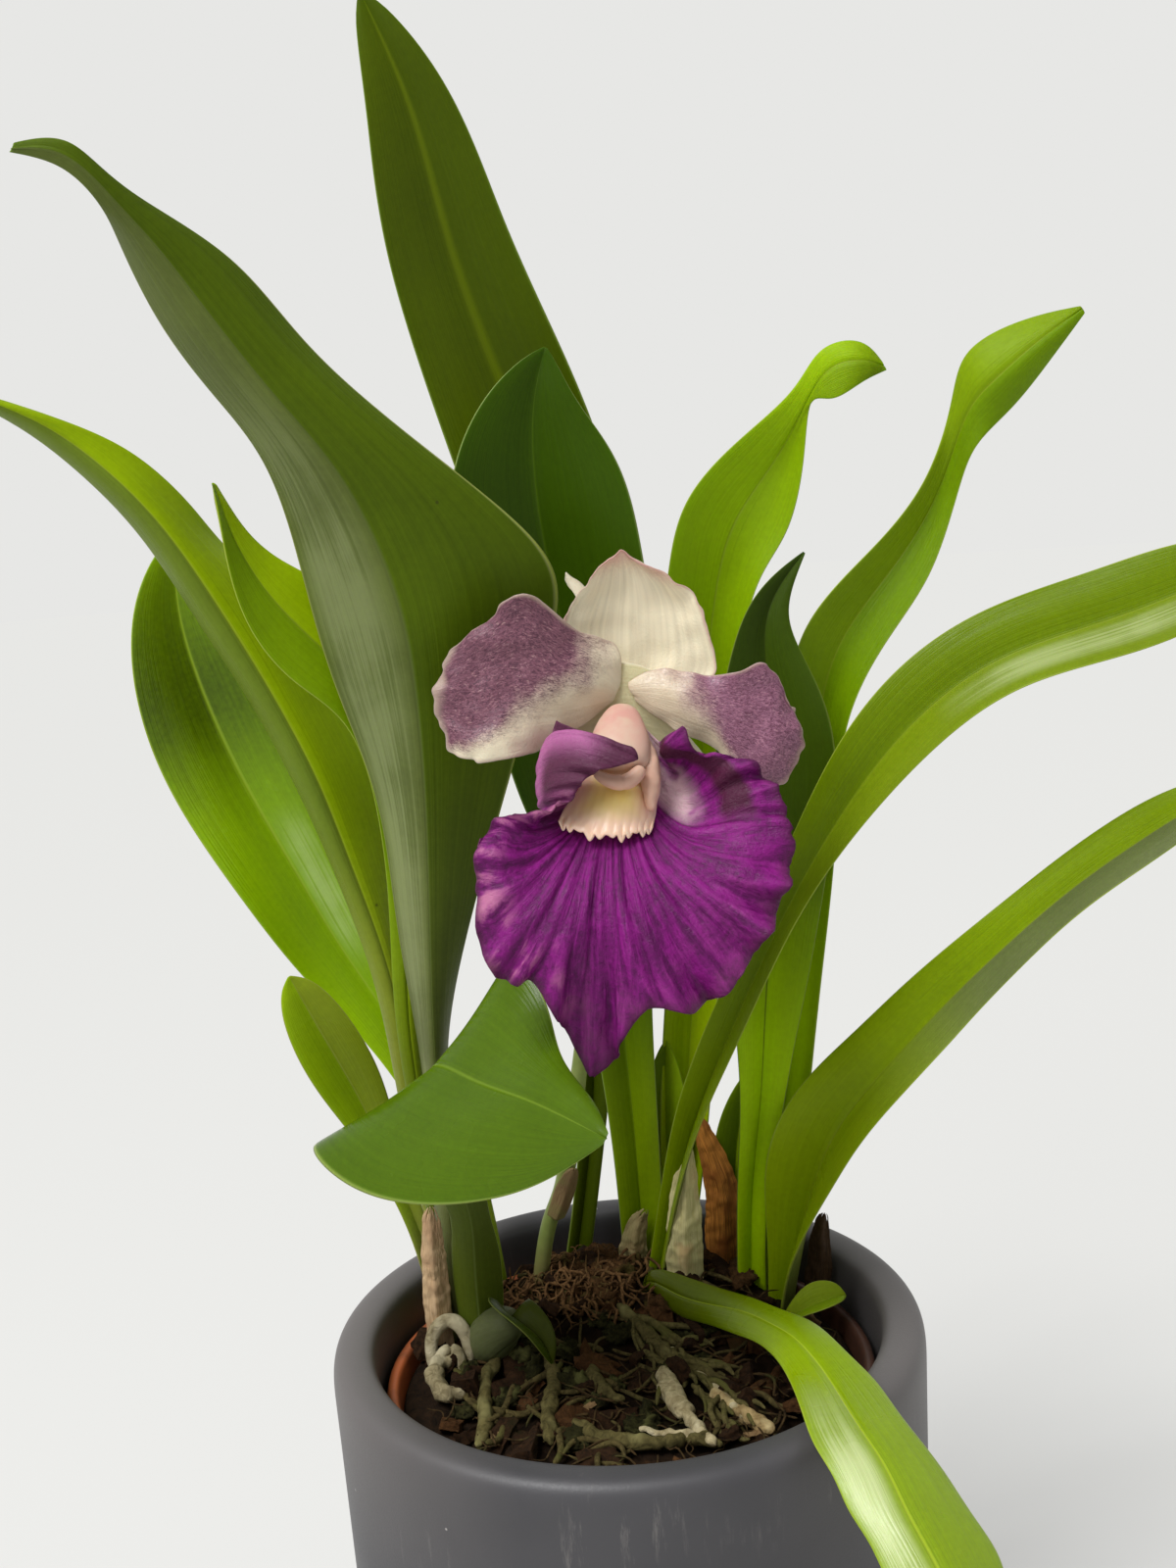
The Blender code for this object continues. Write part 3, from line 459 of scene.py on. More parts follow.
def strewn(name, models, places):
    """Copy the models to each place, each copy with its own mesh, and join the copies to one piece."""
    copies = []
    for k, place in enumerate(places):
        copy = models[k % len(models)].copy()
        copy.data = copy.data.copy()
        copy.data.transform(place)
        bpy.context.scene.collection.objects.link(copy)
        copies.append(copy)
    heap = as_one(name, copies)
    for model in models:
        bpy.data.objects.remove(model, do_unlink=True)
    return heap


def set_down(x, y, lift, turned, size):
    """Place for a copy at a spot on the mix, turned and sized."""
    spot = Vector((x, y, soil_height(x, y) + lift)) * MM
    return Matrix.Translation(spot) @ turned @ Matrix.Scale(size, 4)


def chip_model(seed, long, wide, thick):
    """One splinter of bark: a block, divided and roughened."""
    bpy.ops.object.select_all(action="DESELECT")
    bpy.ops.mesh.primitive_cube_add(size=1, location=(0, 0, 0))
    chip = bpy.context.active_object
    bpy.ops.object.mode_set(mode="EDIT")
    bpy.ops.mesh.select_all(action="SELECT")
    bpy.ops.mesh.subdivide(number_cuts=4)
    bpy.ops.transform.resize(value=(long * MM, wide * MM, thick * MM))
    bpy.ops.object.mode_set(mode="OBJECT")
    roughened(chip, thick * 0.55, wide * 0.6, seed)
    bpy.ops.object.shade_smooth_by_angle(angle=0.6)
    return chip


def chip_places(count, sizes):
    """Places for bark chips: turned at random, tipped a little and part sunk."""
    places = []
    for _ in range(count):
        x, y = clear_spot(reach=46, spare=0.9)
        turn = Matrix.Rotation(dice.uniform(0, 6.28), 4, "Z")
        tipped = Matrix.Rotation(dice.gauss(0, 0.5), 4, "X")
        tilted = Matrix.Rotation(dice.gauss(0, 0.5), 4, "Y")
        places.append(set_down(x, y, 0.2, turn @ tipped @ tilted, dice.uniform(*sizes)))
    return places


for kind, count, sizes, dark, light, moss in (
        ("dark", 70, (0.6, 1.25), (12, 8, 5), (64, 43, 26), (36, 32, 15)),
        ("brown", 22, (0.6, 1.25), (44, 28, 16), (98, 66, 38), (64, 52, 28)),
        ("tan", 7, (0.35, 0.75), (120, 92, 60), (176, 146, 104), (140, 112, 74))):
    chips = [chip_model(dice.random() * 9, dice.uniform(6, 10), dice.uniform(3.5, 6), dice.uniform(1.6, 3))
             for _ in range(5)]
    heap = strewn("bark_" + kind, chips, chip_places(count, sizes))
    hand_over(heap, [earthy_finish("bark_" + kind, dark, light, moss, 700, 0.8, 0.3)], "bark")


def tuft_model(seed):
    """A tuft of moss: a ball, flattened and pushed out of shape by a coarse and a fine noise."""
    bpy.ops.object.select_all(action="DESELECT")
    bpy.ops.mesh.primitive_ico_sphere_add(subdivisions=4, radius=4.5 * MM, location=(0, 0, 0))
    tuft = bpy.context.active_object
    bpy.ops.object.mode_set(mode="EDIT")
    bpy.ops.mesh.select_all(action="SELECT")
    bpy.ops.transform.resize(value=(1.25, 1, 0.55))
    bpy.ops.object.mode_set(mode="OBJECT")
    roughened(tuft, 2.4, 4, seed, 2)
    roughened(tuft, 1.3, 1.1, seed + 3, 4)
    bpy.ops.object.shade_smooth()
    return tuft


BROWN_TUFTS = [(-33, 27), (-28, 20), (-24, 21), (-14, 32), (-9, 34), (-6, 28), (-2, 33), (-10, 26), (-3, 27),
               (2, 29), (-12, 20), (-5, 20), (-1, 22), (20, 30), (27, 26), (-18, 38), (-7, 40), (14, 20),
               (8, 16)]
GREEN_TUFTS = [(-35, -2), (-27, -10), (-22, -2), (-24, 5), (-13, -6), (-8, -14), (-3, -8), (-14, 4), (-2, 8),
               (5, 3), (13, 5), (16, -2), (-36, -14), (-12, -28), (2, -22), (18, 8), (-6, 12), (9, -4)]
for kind, seeds, spots, sizes, dark, light, moss, mossy in (
        ("brown", (1, 2), BROWN_TUFTS, (0.55, 1.0), (34, 22, 12), (104, 74, 44), (78, 68, 34), 0.4),
        ("green", (5, 6), GREEN_TUFTS, (0.4, 0.85), (10, 10, 5), (60, 58, 30), (92, 92, 52), 0.45)):
    places = [set_down(x, y, 0.6, Matrix.Rotation(dice.uniform(0, 6.28), 4, "Z"), dice.uniform(*sizes))
              for x, y in spots]
    tufts = strewn("moss_" + kind, [tuft_model(seed) for seed in seeds], places)
    hand_over(tufts, [earthy_finish(kind + "_moss", dark, light, moss, 900, 0.95, mossy)], "bark")

# Roots: thick and fleshy, with a papery grey-green skin that is whitish where it is dry. The thick ones are
# laid first, then thin ones that wander between them.


def along(values, ts):
    """Smooth curve through evenly spaced values, read at ts from 0 to 1."""
    p = np.array(values, float)
    n = len(p)
    a = np.eye(n)
    b = np.zeros_like(p)
    for i in range(1, n - 1):
        a[i, i - 1:i + 2] = (1, 4, 1)
        b[i] = 6 * (p[i + 1] - 2 * p[i] + p[i - 1])
    m = np.linalg.solve(a, b.reshape(n, -1)).reshape(p.shape)
    x = np.clip(np.asarray(ts, float), 0, 1) * (n - 1)
    i = np.minimum(x.astype(int), n - 2)
    d = x - i
    if p.ndim > 1:
        d = d.reshape(-1, *([1] * (p.ndim - 1)))
    e = 1 - d
    return (m[i] * (e**3 - e) + m[i + 1] * (d**3 - d)) / 6 + p[i] * e + p[i + 1] * d


def evenly(spine, rows):
    """Points at even distances along a smooth curve."""
    dense = along(spine, np.linspace(0, 1, 400))
    arc = np.r_[0, np.cumsum(np.linalg.norm(np.diff(dense, axis=0), axis=1))]
    want = np.linspace(0, arc[-1], rows)
    return np.stack([np.interp(want, arc, dense[:, k]) for k in range(3)], -1)


def unit(arrows):
    """The same directions, one long."""
    return arrows / np.maximum(np.linalg.norm(arrows, axis=-1, keepdims=True), 1e-9)


def rolled(name, spine, radii, rows=40, sides=14, flat=1.0):
    """A round bar along a smooth curve, closed at both ends; flat makes it broader one way."""
    centre = evenly(spine, rows)
    run = unit(np.gradient(centre, axis=0))
    hint = np.array((1.0, 0.05, 0.02)) if abs(run[0][0]) < 0.8 else np.array((0.02, 0.05, 1.0))
    one = unit(np.cross(run, hint))
    two = np.cross(run, one) * flat
    t = np.linspace(0, 1, rows)
    reach = along(radii, t) * np.sqrt(np.clip(1 - np.abs(2 * t - 1)**14, 0, 1))
    turn = np.linspace(0, 2 * np.pi, sides + 1)[None, :, None]
    ring = one[:, None] * np.cos(turn) + two[:, None] * np.sin(turn)
    points = centre[:, None] + ring * reach[:, None, None]
    points[:, -1] = points[:, 0]
    return laid(name, points, joined=True)


ROOTS = {
    "root_knot": (1.9, [(-39, 3, 0), (-43, -1, 1.5), (-41, -9, 0.5), (-36, -8, 0)]),
    "root_left": (1.5, [(-29, 4, 0), (-32, -8, 0.5), (-31, -20, 0), (-33, -29, 0)]),
    "root_mid": (1.5, [(-18, 3, 0), (-17, -8, 0), (-18, -20, 0.5), (-17, -31, 0)]),
    "root_curl": (1.5, [(-13, -22, 0), (-5, -30, 0), (5, -32.5, 0), (12, -32, 0), (18, -35.5, 0)]),
    "root_long": (1.7, [(-2, 15, 0), (5, 4, 0), (12, -6, 0), (21, -11, 0)]),
    "root_thick": (2.3, [(7, -8, 0), (8.5, -16, 0), (11, -25, 0)]),
    "root_front": (1.5, [(-9, -3, 0), (-7, -10, 0), (-2, -16, 0)]),
    "root_beige": (1.7, [(17, -16, 0), (22, -23, 0), (28, -32, 0)]),
}
root_skin = earthy_finish("root_skin", (44, 40, 20), (116, 106, 64), (128, 122, 78), 500, 0.8, 0.4)
dry_root = earthy_finish("dry_root", (96, 84, 56), (178, 166, 130), (200, 190, 158), 500, 0.7, 0.5)
cream_root = earthy_finish("cream_root", (128, 112, 76), (216, 202, 160), (228, 218, 184), 500, 0.7, 0.4)
tan_root = earthy_finish("tan_root", (122, 100, 62), (196, 170, 120), (206, 190, 142), 500, 0.7, 0.4)
ROOT_SKINS = {"root_knot": dry_root, "root_thick": cream_root, "root_beige": tan_root}
for name, (radius, path) in ROOTS.items():
    spine = [(x, y, soil_height(x, y) + radius + 0.2 + lift) for x, y, lift in path]
    root = rolled(name + "_skin", spine, (radius * 0.9, radius, radius * 1.1, radius * 0.7))
    root = smoothed(roughened(root, 1.0, 2.6, radius + path[0][0]))
    hand_over(root, [ROOT_SKINS.get(name, root_skin)], "root_skin", name)

# Thinner roots and fibres: two dry ones that arch out of the mix at the left, a few pale ones in front, mossy
# ones all over, a slanting bundle in the middle and brown coir among the shoots.

STRAND_STEPS = 5
STRAY, SWERVE = 1.6, 0.35


def bundle(name, pieces, finish, levels=1):
    """Join pieces to one, round it and set it on the plant."""
    hand_over(smoothed(as_one(name, pieces), levels), [finish], "root_skin")


def wandering(count, reach, thick, length, lift, turn, spots=None, heading=None):
    """Thin strands that wander over the mix from random places, or from near chosen spots."""
    strands = []
    for k in range(count):
        x, y = clear_spot(reach, spare=0.55)
        if spots:
            x, y = (c + dice.gauss(0, STRAY) for c in spots[k % len(spots)])
        course = dice.uniform(0, 2 * np.pi) if heading is None else dice.gauss(heading, SWERVE)
        path = []
        for _ in range(STRAND_STEPS):
            path.append((x, y, soil_height(x, y) + dice.uniform(*lift)))
            course += dice.gauss(0, turn)
            step = dice.uniform(*length)
            x += step * np.cos(course)
            y += step * np.sin(course)
        if max(np.hypot(a, b) for a, b, _ in path) > MIX_RADIUS:
            continue
        radius = dice.uniform(*thick)
        strands.append(rolled("strand", path, (radius, radius, radius, radius * 0.4), rows=15, sides=6))
    return strands


high_arch = rolled("root_arch", [
    (-44, 4, 108), (-44, 7, 114.5), (-39.5, 7, 118), (-36, 5, 114), (-36.5, 4, 108)],
    (1.4, 1.6, 1.8, 1.6, 1.4))
low_arch = rolled("root_arch", [
    (-42, 0, 107), (-42, 2.5, 112), (-38.5, 3, 112.5), (-37.5, 1, 107)], (1.1, 1.4, 1.4, 1.1))
bundle("roots_arched", [high_arch, low_arch], dry_root)
PALE_ROOTS = [
    (1.3, [(10.5, -22), (12, -27), (14, -32), (16, -36)]), (0.9, [(1, -27), (5, -30), (9, -31), (15, -33)]),
    (0.8, [(9, 1), (10, -4), (9, -9)]), (0.9, [(13, -7), (17, -13), (20, -20), (24, -28)])]
pale = []
for radius, path in PALE_ROOTS:
    spine = [(x, y, soil_height(x, y) + radius + 1.2) for x, y in path]
    root = rolled("pale_root", spine, (radius * 0.8, radius, radius * 1.1, radius * 0.5))
    pale.append(roughened(root, 0.8, 2.2, radius))
bundle("roots_pale", pale, cream_root)
bundle("roots_thin", wandering(60, 44, (0.35, 1.0), (3, 6), (0.3, 2.4), 0.5),
       earthy_finish("thin_root_skin", (34, 28, 14), (108, 96, 58), (84, 82, 42), 600, 0.8, 0.4))
SLANTING = [(0, 10), (5, 3), (11, -4), (3, 6), (14, -12), (8, -2), (18, -18)]
bundle("roots_slanting", wandering(34, 44, (0.4, 1.1), (2.5, 5), (1, 3.4), 0.3, SLANTING, -0.85),
       earthy_finish("slanting_skin", (46, 42, 20), (124, 114, 70), (92, 90, 46), 600, 0.8, 0.45))
COIR = [(-27, 22), (-22, 20), (-16, 24), (-10, 22), (-6, 16), (-2, 24), (-12, 14), (1, 18), (-15, 31)]
bundle("coir", wandering(110, 44, (0.15, 0.4), (1.2, 3.5), (0.8, 5), 0.9, COIR),
       earthy_finish("coir_fibre", (52, 34, 20), (142, 106, 68), (98, 82, 48), 700, 0.9, 0.4), 0)
bundle("fibres", wandering(150, 47, (0.12, 0.35), (1.5, 5), (0.4, 2.6), 0.7),
       earthy_finish("dark_fibre", (22, 16, 9), (94, 74, 46), (74, 74, 40), 700, 0.9, 0.4), 0)

# Leaves: leathery strap leaves, folded along the midrib and narrowed to a channelled stalk at the foot. The
# upper side is glossy, the underside duller and greyer, and the margin a thin pale line. Each is a grid laid
# along the leaf's own curve, with a wall that is thick at the foot and thin at the margin.
FOLD = (38, 40, 34, 28, 24, 22, 20)
LEAF_WALL = 0.85


def blade(half, spine, face, fold=FOLD, cap=20, wave=0.0, waves=3, rows=81, cols=17, swell=0.05):
    """Leaf surface: half widths along a spine, folded about the midrib, upper side towards face."""
    t = np.linspace(0, 1, rows)
    centre = evenly(spine, rows)
    run = unit(np.gradient(centre, axis=0))
    up = np.stack([np.interp(t, np.linspace(0, 1, len(face)), np.array(face, float)[:, k])
                   for k in range(3)], -1)
    up = unit(up - run * (up * run).sum(1)[:, None])
    side = np.cross(run, up)
    width = np.maximum(along(half, t) * (1 - t**cap)**0.6, 0.3)
    angle = np.radians(along(fold, t))
    grid = np.empty((rows, cols, 3))
    for j, u in enumerate(np.linspace(-1, 1, cols)):
        crease = np.hypot(u, 0.07) - 0.07
        ripple = wave * u * abs(u) * (width / max(half)) * np.sin(2 * np.pi * waves * t)
        belly = swell * width * np.sin(np.pi * abs(u))
        lift = width * crease * np.sin(angle) + ripple + belly
        grid[:, j] = centre + side * (width * u * np.cos(angle))[:, None] + up * lift[:, None]
    return grid


def sheet(net, rows, cols):
    """Smooth surface through a net of points."""
    grid = along(np.array(net, float), np.linspace(0, 1, rows))
    return along(grid.transpose(1, 0, 2), np.linspace(0, 1, cols)).transpose(1, 0, 2)


def normals(grid):
    """Unit normals of a surface given as rows of points."""
    return unit(np.cross(np.gradient(grid, axis=0), np.gradient(grid, axis=1)))


def grooved(net, flip, depth=0.45, width=0.07, rows=81, cols=17):
    """Leaf surface through a net of left margin, midrib and right margin, sunk a little along the midrib."""
    grid = sheet(net, rows, cols)
    if flip:
        grid = grid[:, ::-1]
    return grid + normals(grid) * (depth * np.exp(-(np.linspace(-1, 1, cols) / width)**2))[None, :, None]


def leaf_group():
    """Node group for a leaf: halves, veins, midrib, margin, foot, a painted shadow band, a painted sheen and
    specks.
    """
    leaf, given, result = surface_group(
        "leaf_surface", ("Left Half", "Right Half", "Foot", "Midrib", "Margin"), {
            "Foot End": 0.25, "Midrib Width": 0.05, "Margin Width": 0.04, "Veins": 0.35, "Mottle": 0.35,
            "Gloss": 0.35, "Shade At": 0.5, "Shade Reach": 0.1, "Shade": 0.0, "Bloom At": 0.5,
            "Bloom Reach": 0.2, "Bloom Side": 0.5, "Bloom Width": 0.2, "Bloom": 0.0})
    spread = leaf.add("TexCoord").outputs
    across, lengthways, _ = leaf.add("SeparateXYZ", {0: spread["UV"]}).outputs
    off_middle = leaf.times(leaf.gap(across, 0.5), 2)
    lines = leaf.add("CombineXYZ", {0: leaf.times(across, 46), 1: leaf.times(lengthways, 2.2)}).outputs[0]
    vein = leaf.cloud(lines, 1, 4, Roughness=0.6)
    haze = leaf.cloud(spread["Object"], 42, 4)
    grain = leaf.cloud(spread["Object"], 900, 2)
    tone = leaf.plus(leaf.swing(vein, given["Veins"]), leaf.swing(haze, given["Mottle"]))
    # Painted shadow: a band across the leaf, darkened by Shade, where another part's shadow falls on it.
    band = leaf.ease(leaf.gap(lengthways, given["Shade At"]), 0, given["Shade Reach"], 1, 0)
    tone = leaf.maths("SUBTRACT", leaf.plus(tone, leaf.swing(grain, 0.25)), leaf.times(band, given["Shade"]))
    halves = leaf.blend(leaf.ease(across, 0.49, 0.51), given["Left Half"], given["Right Half"])
    foot_low = leaf.maths("SUBTRACT", given["Foot End"], 0.16)
    foot = leaf.ease(lengthways, foot_low, leaf.plus(given["Foot End"], 0.16), 1, 0)
    shaded = leaf.add("HueSaturation", {
        "Color": leaf.blend(foot, halves, given["Foot"]), "Value": leaf.plus(tone, 1)}).outputs[0]
    midrib = leaf.ease(off_middle, 0, given["Midrib Width"], 0.75, 0)
    margin = leaf.ease(off_middle, leaf.maths("SUBTRACT", 1, given["Margin Width"]), 1)
    edged = leaf.blend(margin, leaf.blend(midrib, shaded, given["Midrib"]), given["Margin"])
    # Painted sheen: a pale patchy streak on one side of the leaf that stands in for a highlight.
    beside = leaf.ease(leaf.gap(across, given["Bloom Side"]), leaf.times(given["Bloom Width"], 0.35),
                       given["Bloom Width"], 1, 0)
    around = leaf.ease(leaf.gap(lengthways, given["Bloom At"]), leaf.times(given["Bloom Reach"], 0.4),
                       given["Bloom Reach"], 1, 0)
    patchy = leaf.ease(leaf.plus(leaf.times(vein, 0.5), leaf.times(haze, 0.5)), 0.4, 0.56, 0.25, 1)
    bloom = leaf.times(leaf.times(leaf.times(beside, around), patchy), given["Bloom"])
    sheened = leaf.blend(bloom, edged, paint(216, 224, 176))
    dots = leaf.add("TexVoronoi", {"Vector": spread["Object"], "Scale": 160}).outputs
    speck = leaf.times(leaf.ease(dots["Distance"], 0.04, 0.08, 0.6, 0), leaf.ease(dots["Color"], 0.9, 0.92))
    leaf.link(leaf.blend(speck, sheened, paint(52, 50, 22)), result["Color"])
    leaf.link(leaf.plus(given["Gloss"], leaf.swing(haze, 0.3)), result["Roughness"])
    leaf.link(leaf.plus(vein, leaf.times(midrib, -0.8)), result["Height"])
    return leaf.tree


leaf_surface = leaf_group()


def leaf_finish(name, left, right, foot, midrib, margin, clear=0.12, shine=0.08, **amounts):
    """A leaf's side in its own colours; amounts set the leaf surface group."""
    finish = Finish(name, {
        "Specular IOR Level": shine, "Subsurface Weight": clear, "Subsurface Radius": (0.5, 1.0, 0.15),
        "Subsurface Scale": 0.0015})
    colours = {"Left Half": left, "Right Half": right, "Foot": foot, "Midrib": midrib, "Margin": margin}
    return surfaced(finish, leaf_surface, colours, amounts, 0.35, 0.5)


def walled(name, grid, wall, foot=1.0, foot_end=0.35, margin=0.35, sides=()):
    """Lay a sheet and give it its wall: foot times as thick at the foot and margin times at the long edges.
    A sheet whose two sides differ gets their finishes first, so that its back takes the second one."""
    piece = laid(name, grid)
    for finish in sides:
        piece.data.materials.append(finish)
    group = piece.vertex_groups.new(name="wall")
    t = np.linspace(0, 1, grid.shape[0])
    u = np.linspace(-1, 1, grid.shape[1])
    rise = np.clip(1 - t / foot_end, 0, 1)**1.5
    full = (1 + (foot - 1) * rise)[:, None] * (1 - (1 - margin) * np.abs(u)**5)[None, :]
    tip = 0.04
    full *= np.where(t > 1 - tip, np.clip((1 - t) / tip, margin, 1), 1)[:, None]
    for k, weight in enumerate((full / foot).ravel()):
        group.add([k], weight, "REPLACE")
    solid = piece.modifiers.new("wall", "SOLIDIFY")
    solid.thickness = wall * foot * MM
    solid.offset = 0
    solid.vertex_group = "wall"
    solid.material_offset = 1
    only(piece)
    bpy.ops.object.modifier_apply(modifier="wall")
    piece.vertex_groups.clear()
    return piece


def leaf(name, upper, under, slot="leaf_green", foot=2.4, net=None, flip=False, extra=False, **shape):
    """One leaf: shape the blade, give it its wall, round it and dress both sides. An extra has no node."""
    grid = grooved(net, flip) if net else blade(**shape)
    sides = [leaf_finish(name + "_upper", **upper), leaf_finish(name + "_under", **under)]
    piece = smoothed(walled(name + "_blade", grid, LEAF_WALL, foot, sides=sides))
    hand_over(piece, [], slot, *([] if extra else [name]))


# Left fan, front: the widest leaf, seen from its grey-green underside. It rises straight, leans to the left
# and ends in a narrow drooping tip.
leaf("leaf_grey", slot="leaf_underside", flip=True,
     upper=dict(left=(92, 122, 20), right=(92, 122, 20), foot=(110, 126, 50), midrib=(130, 150, 60),
                margin=(150, 160, 70)),
     under=dict(left=(78, 98, 8), right=(92, 104, 46), foot=(98, 104, 56), midrib=(92, 104, 50),
                margin=(140, 146, 84), gloss=0.46, foot_end=0.2, midrib_width=0.03, margin_width=0.03,
                veins=0.7, mottle=0.7, bloom=0.15, bloom_at=0.34, bloom_reach=0.34, bloom_side=0.75,
                bloom_width=0.27),
     net=[
         [(-41, 18, 104), (-37, 14, 104), (-33, 18, 104)],
         [(-42, 16.5, 142), (-38.5, 12, 144), (-34.5, 18, 142)],
         [(-42, 16.5, 173.5), (-38.5, 10.5, 176), (-36.5, 17, 174.5)],
         [(-44.5, 15, 206.5), (-36.5, 6, 208.5), (-29, 14, 206)],
         [(-46, 11, 236.5), (-34.5, 0, 237.5), (-19, 10, 234.5)],
         [(-52, 6, 263), (-34, -6, 263), (-9.5, 5, 260)],
         [(-55.5, 0, 286), (-36, -12, 283.5), (-3.5, 0, 279.5)],
         [(-59.5, -6, 308), (-43, -18, 304.5), (-10.5, -4, 294)],
         [(-67.5, -13, 323), (-52.5, -25, 320), (-29, -12, 311.5)],
         [(-74.5, -21, 336.5), (-61.5, -31, 334), (-46.5, -20, 329.5)],
         [(-77.5, -30, 348.5), (-69.5, -36, 347), (-58.5, -28, 345.5)],
         [(-78, -39, 354), (-75.5, -40, 355), (-73, -38, 356.5)],
         [(-83, -42, 360), (-82, -43, 362), (-81, -43, 364)],
         [(-91.5, -43, 363), (-91, -43, 363.5), (-90.5, -43, 364.5)]])

# Left fan, middle: a narrower leaf arches out to the left, its bright upper half over its paler underside.
# Behind it a curved and a pointed leaf rise; before it stand a short one, one bent over the rim and a bud.
leaf("leaf_arch",
     upper=dict(left=(104, 124, 34), right=(140, 166, 4), foot=(134, 142, 40), midrib=(150, 168, 40),
                margin=(176, 186, 80), clear=0.2),
     under=dict(left=(104, 120, 46), right=(104, 120, 46), foot=(134, 136, 60), midrib=(132, 146, 70),
                margin=(170, 180, 90), gloss=0.5),
     net=[
         [(-40.5, 28, 104), (-37.5, 26, 104), (-35.5, 30, 104)],
         [(-46.5, 26, 140), (-44, 23, 141), (-42, 28, 140)],
         [(-49.5, 25, 169.5), (-46, 22, 170.5), (-43.5, 28, 169.5)],
         [(-53, 26, 195.5), (-48.5, 23, 196), (-44, 32, 195)],
         [(-60, 27, 221), (-55, 24, 221.5), (-46, 35, 223)],
         [(-66.5, 27, 240), (-60.5, 23, 241), (-50, 36, 243.5)],
         [(-74.5, 27, 259), (-68, 22, 260), (-57, 36, 262)],
         [(-83, 26, 276), (-76, 20, 277.5), (-63.5, 35, 280)],
         [(-91.5, 24, 293), (-84.5, 18, 294), (-74.5, 32, 290.5)],
         [(-100, 21, 306), (-93.5, 16, 307), (-82, 26, 302)],
         [(-110, 18, 317), (-104.5, 14, 318), (-92, 20, 314)],
         [(-118.5, 14, 324), (-114.5, 11, 324.5), (-105.5, 14, 322)],
         [(-126, 10, 329), (-125.5, 10, 329.5), (-124, 10, 329.5)]])
PLAIN_UNDER = dict(left=(102, 116, 50), right=(102, 116, 50), foot=(114, 124, 50), midrib=(134, 146, 70),
                   margin=(164, 172, 90), gloss=0.5)
leaf("leaf_back_left",
     upper=dict(left=(140, 176, 2), right=(132, 170, 2), foot=(120, 140, 20), midrib=(150, 176, 40),
                margin=(150, 168, 60), gloss=0.24, clear=0.2, shine=0.2, shade=0.66, shade_at=0.84,
                shade_reach=0.24, bloom=0.3, bloom_at=0.55, bloom_reach=0.12, bloom_side=0.66,
                bloom_width=0.16),
     under=PLAIN_UNDER, half=(4, 4, 6, 8.5, 12, 15, 17, 17.5, 14, 7), wave=1.5,
     spine=[(-31, 34, 105), (-35, 42, 132), (-43, 48, 154), (-53, 52, 175), (-64, 53, 195), (-73, 52, 215),
            (-82, 51, 236), (-89, 50, 257), (-93, 49, 278), (-92, 49, 296)],
     face=[(0.3, -1, 0), (0.2, -1, 0.2)])
leaf("leaf_pointed",
     upper=dict(left=(122, 154, 4), right=(150, 178, 4), foot=(110, 126, 20), midrib=(128, 150, 30),
                margin=(160, 172, 70)),
     under=PLAIN_UNDER, net=[
         [(-43, 22, 104), (-40, 20, 104), (-37, 23, 104)],
         [(-45, 21, 147.5), (-42.5, 19.5, 148), (-40.5, 23, 146)],
         [(-47.5, 20.5, 183), (-44.5, 19.5, 183.5), (-42, 22, 182)],
         [(-46.5, 18.5, 213), (-43, 19, 212.5), (-39, 22, 211.5)],
         [(-47, 14, 237.5), (-43, 17, 238.5), (-37.5, 22, 238)],
         [(-51.5, 10, 254.5), (-44.5, 15, 256), (-38.5, 20, 258)],
         [(-60.5, 6, 264.5), (-52.5, 12, 268), (-44.5, 18, 271.5)],
         [(-67.5, 3, 275.5), (-62, 9, 279.5), (-52.5, 14, 283)],
         [(-70.5, 2, 287), (-67.5, 7, 289), (-61, 11, 289.5)],
         [(-71.5, 2, 297), (-70.5, 5, 297.5), (-67.5, 8, 296.5)],
         [(-72.5, 3, 306), (-72.5, 4, 306.5), (-72, 5, 306)]])
leaf("leaf_short_left", foot=2,
     upper=dict(left=(140, 170, 12), right=(124, 140, 26), foot=(134, 138, 70), midrib=(140, 152, 60),
                margin=(150, 140, 80), gloss=0.28, foot_end=0.35),
     under=PLAIN_UNDER, half=(2.5, 3, 3.5, 7.5, 6),
     spine=[(-41, 14, 103), (-44, 13, 130), (-49, 11, 150), (-55, 8, 170), (-61, 5, 186), (-67, 2, 202)],
     face=[(0.3, -1, 0), (0.2, -1, 0.2)])
leaf("leaf_bent", flip=True,
     upper=dict(left=(72, 98, 2), right=(70, 96, 2), foot=(100, 116, 40), midrib=(104, 130, 30),
                margin=(150, 168, 80), gloss=0.25, midrib_width=0.025, shine=0.16, shade=0.5, shade_at=0.3,
                shade_reach=0.16),
     under=dict(left=(96, 110, 54), right=(92, 108, 48), foot=(84, 98, 26), midrib=(108, 122, 60),
                margin=(140, 150, 80), gloss=0.5),
     net=[
         [(-37, 12, 104), (-33, 8.5, 104), (-29, 12, 104)],
         [(-38.5, 10, 130), (-33, 5, 130), (-27.5, 10, 130)],
         [(-38, 3, 147), (-33, 1, 146.5), (-29, 5, 146)],
         [(-49, -3, 161), (-36.5, -6, 165.5), (-27, -2, 172)],
         [(-61.5, -16, 171), (-36.5, -17, 185.5), (-20, -14, 205.5)],
         [(-55, -30, 168.5), (-27, -30, 187.5), (-12, -25, 202)],
         [(-39, -41, 167), (-17, -42, 187.5), (-9, -38, 194)],
         [(-18.5, -50, 172), (-8, -51, 186), (-4, -48, 189)],
         [(-2, -58, 183.5), (-1.5, -58, 184.5), (-1, -58, 185.5)]])
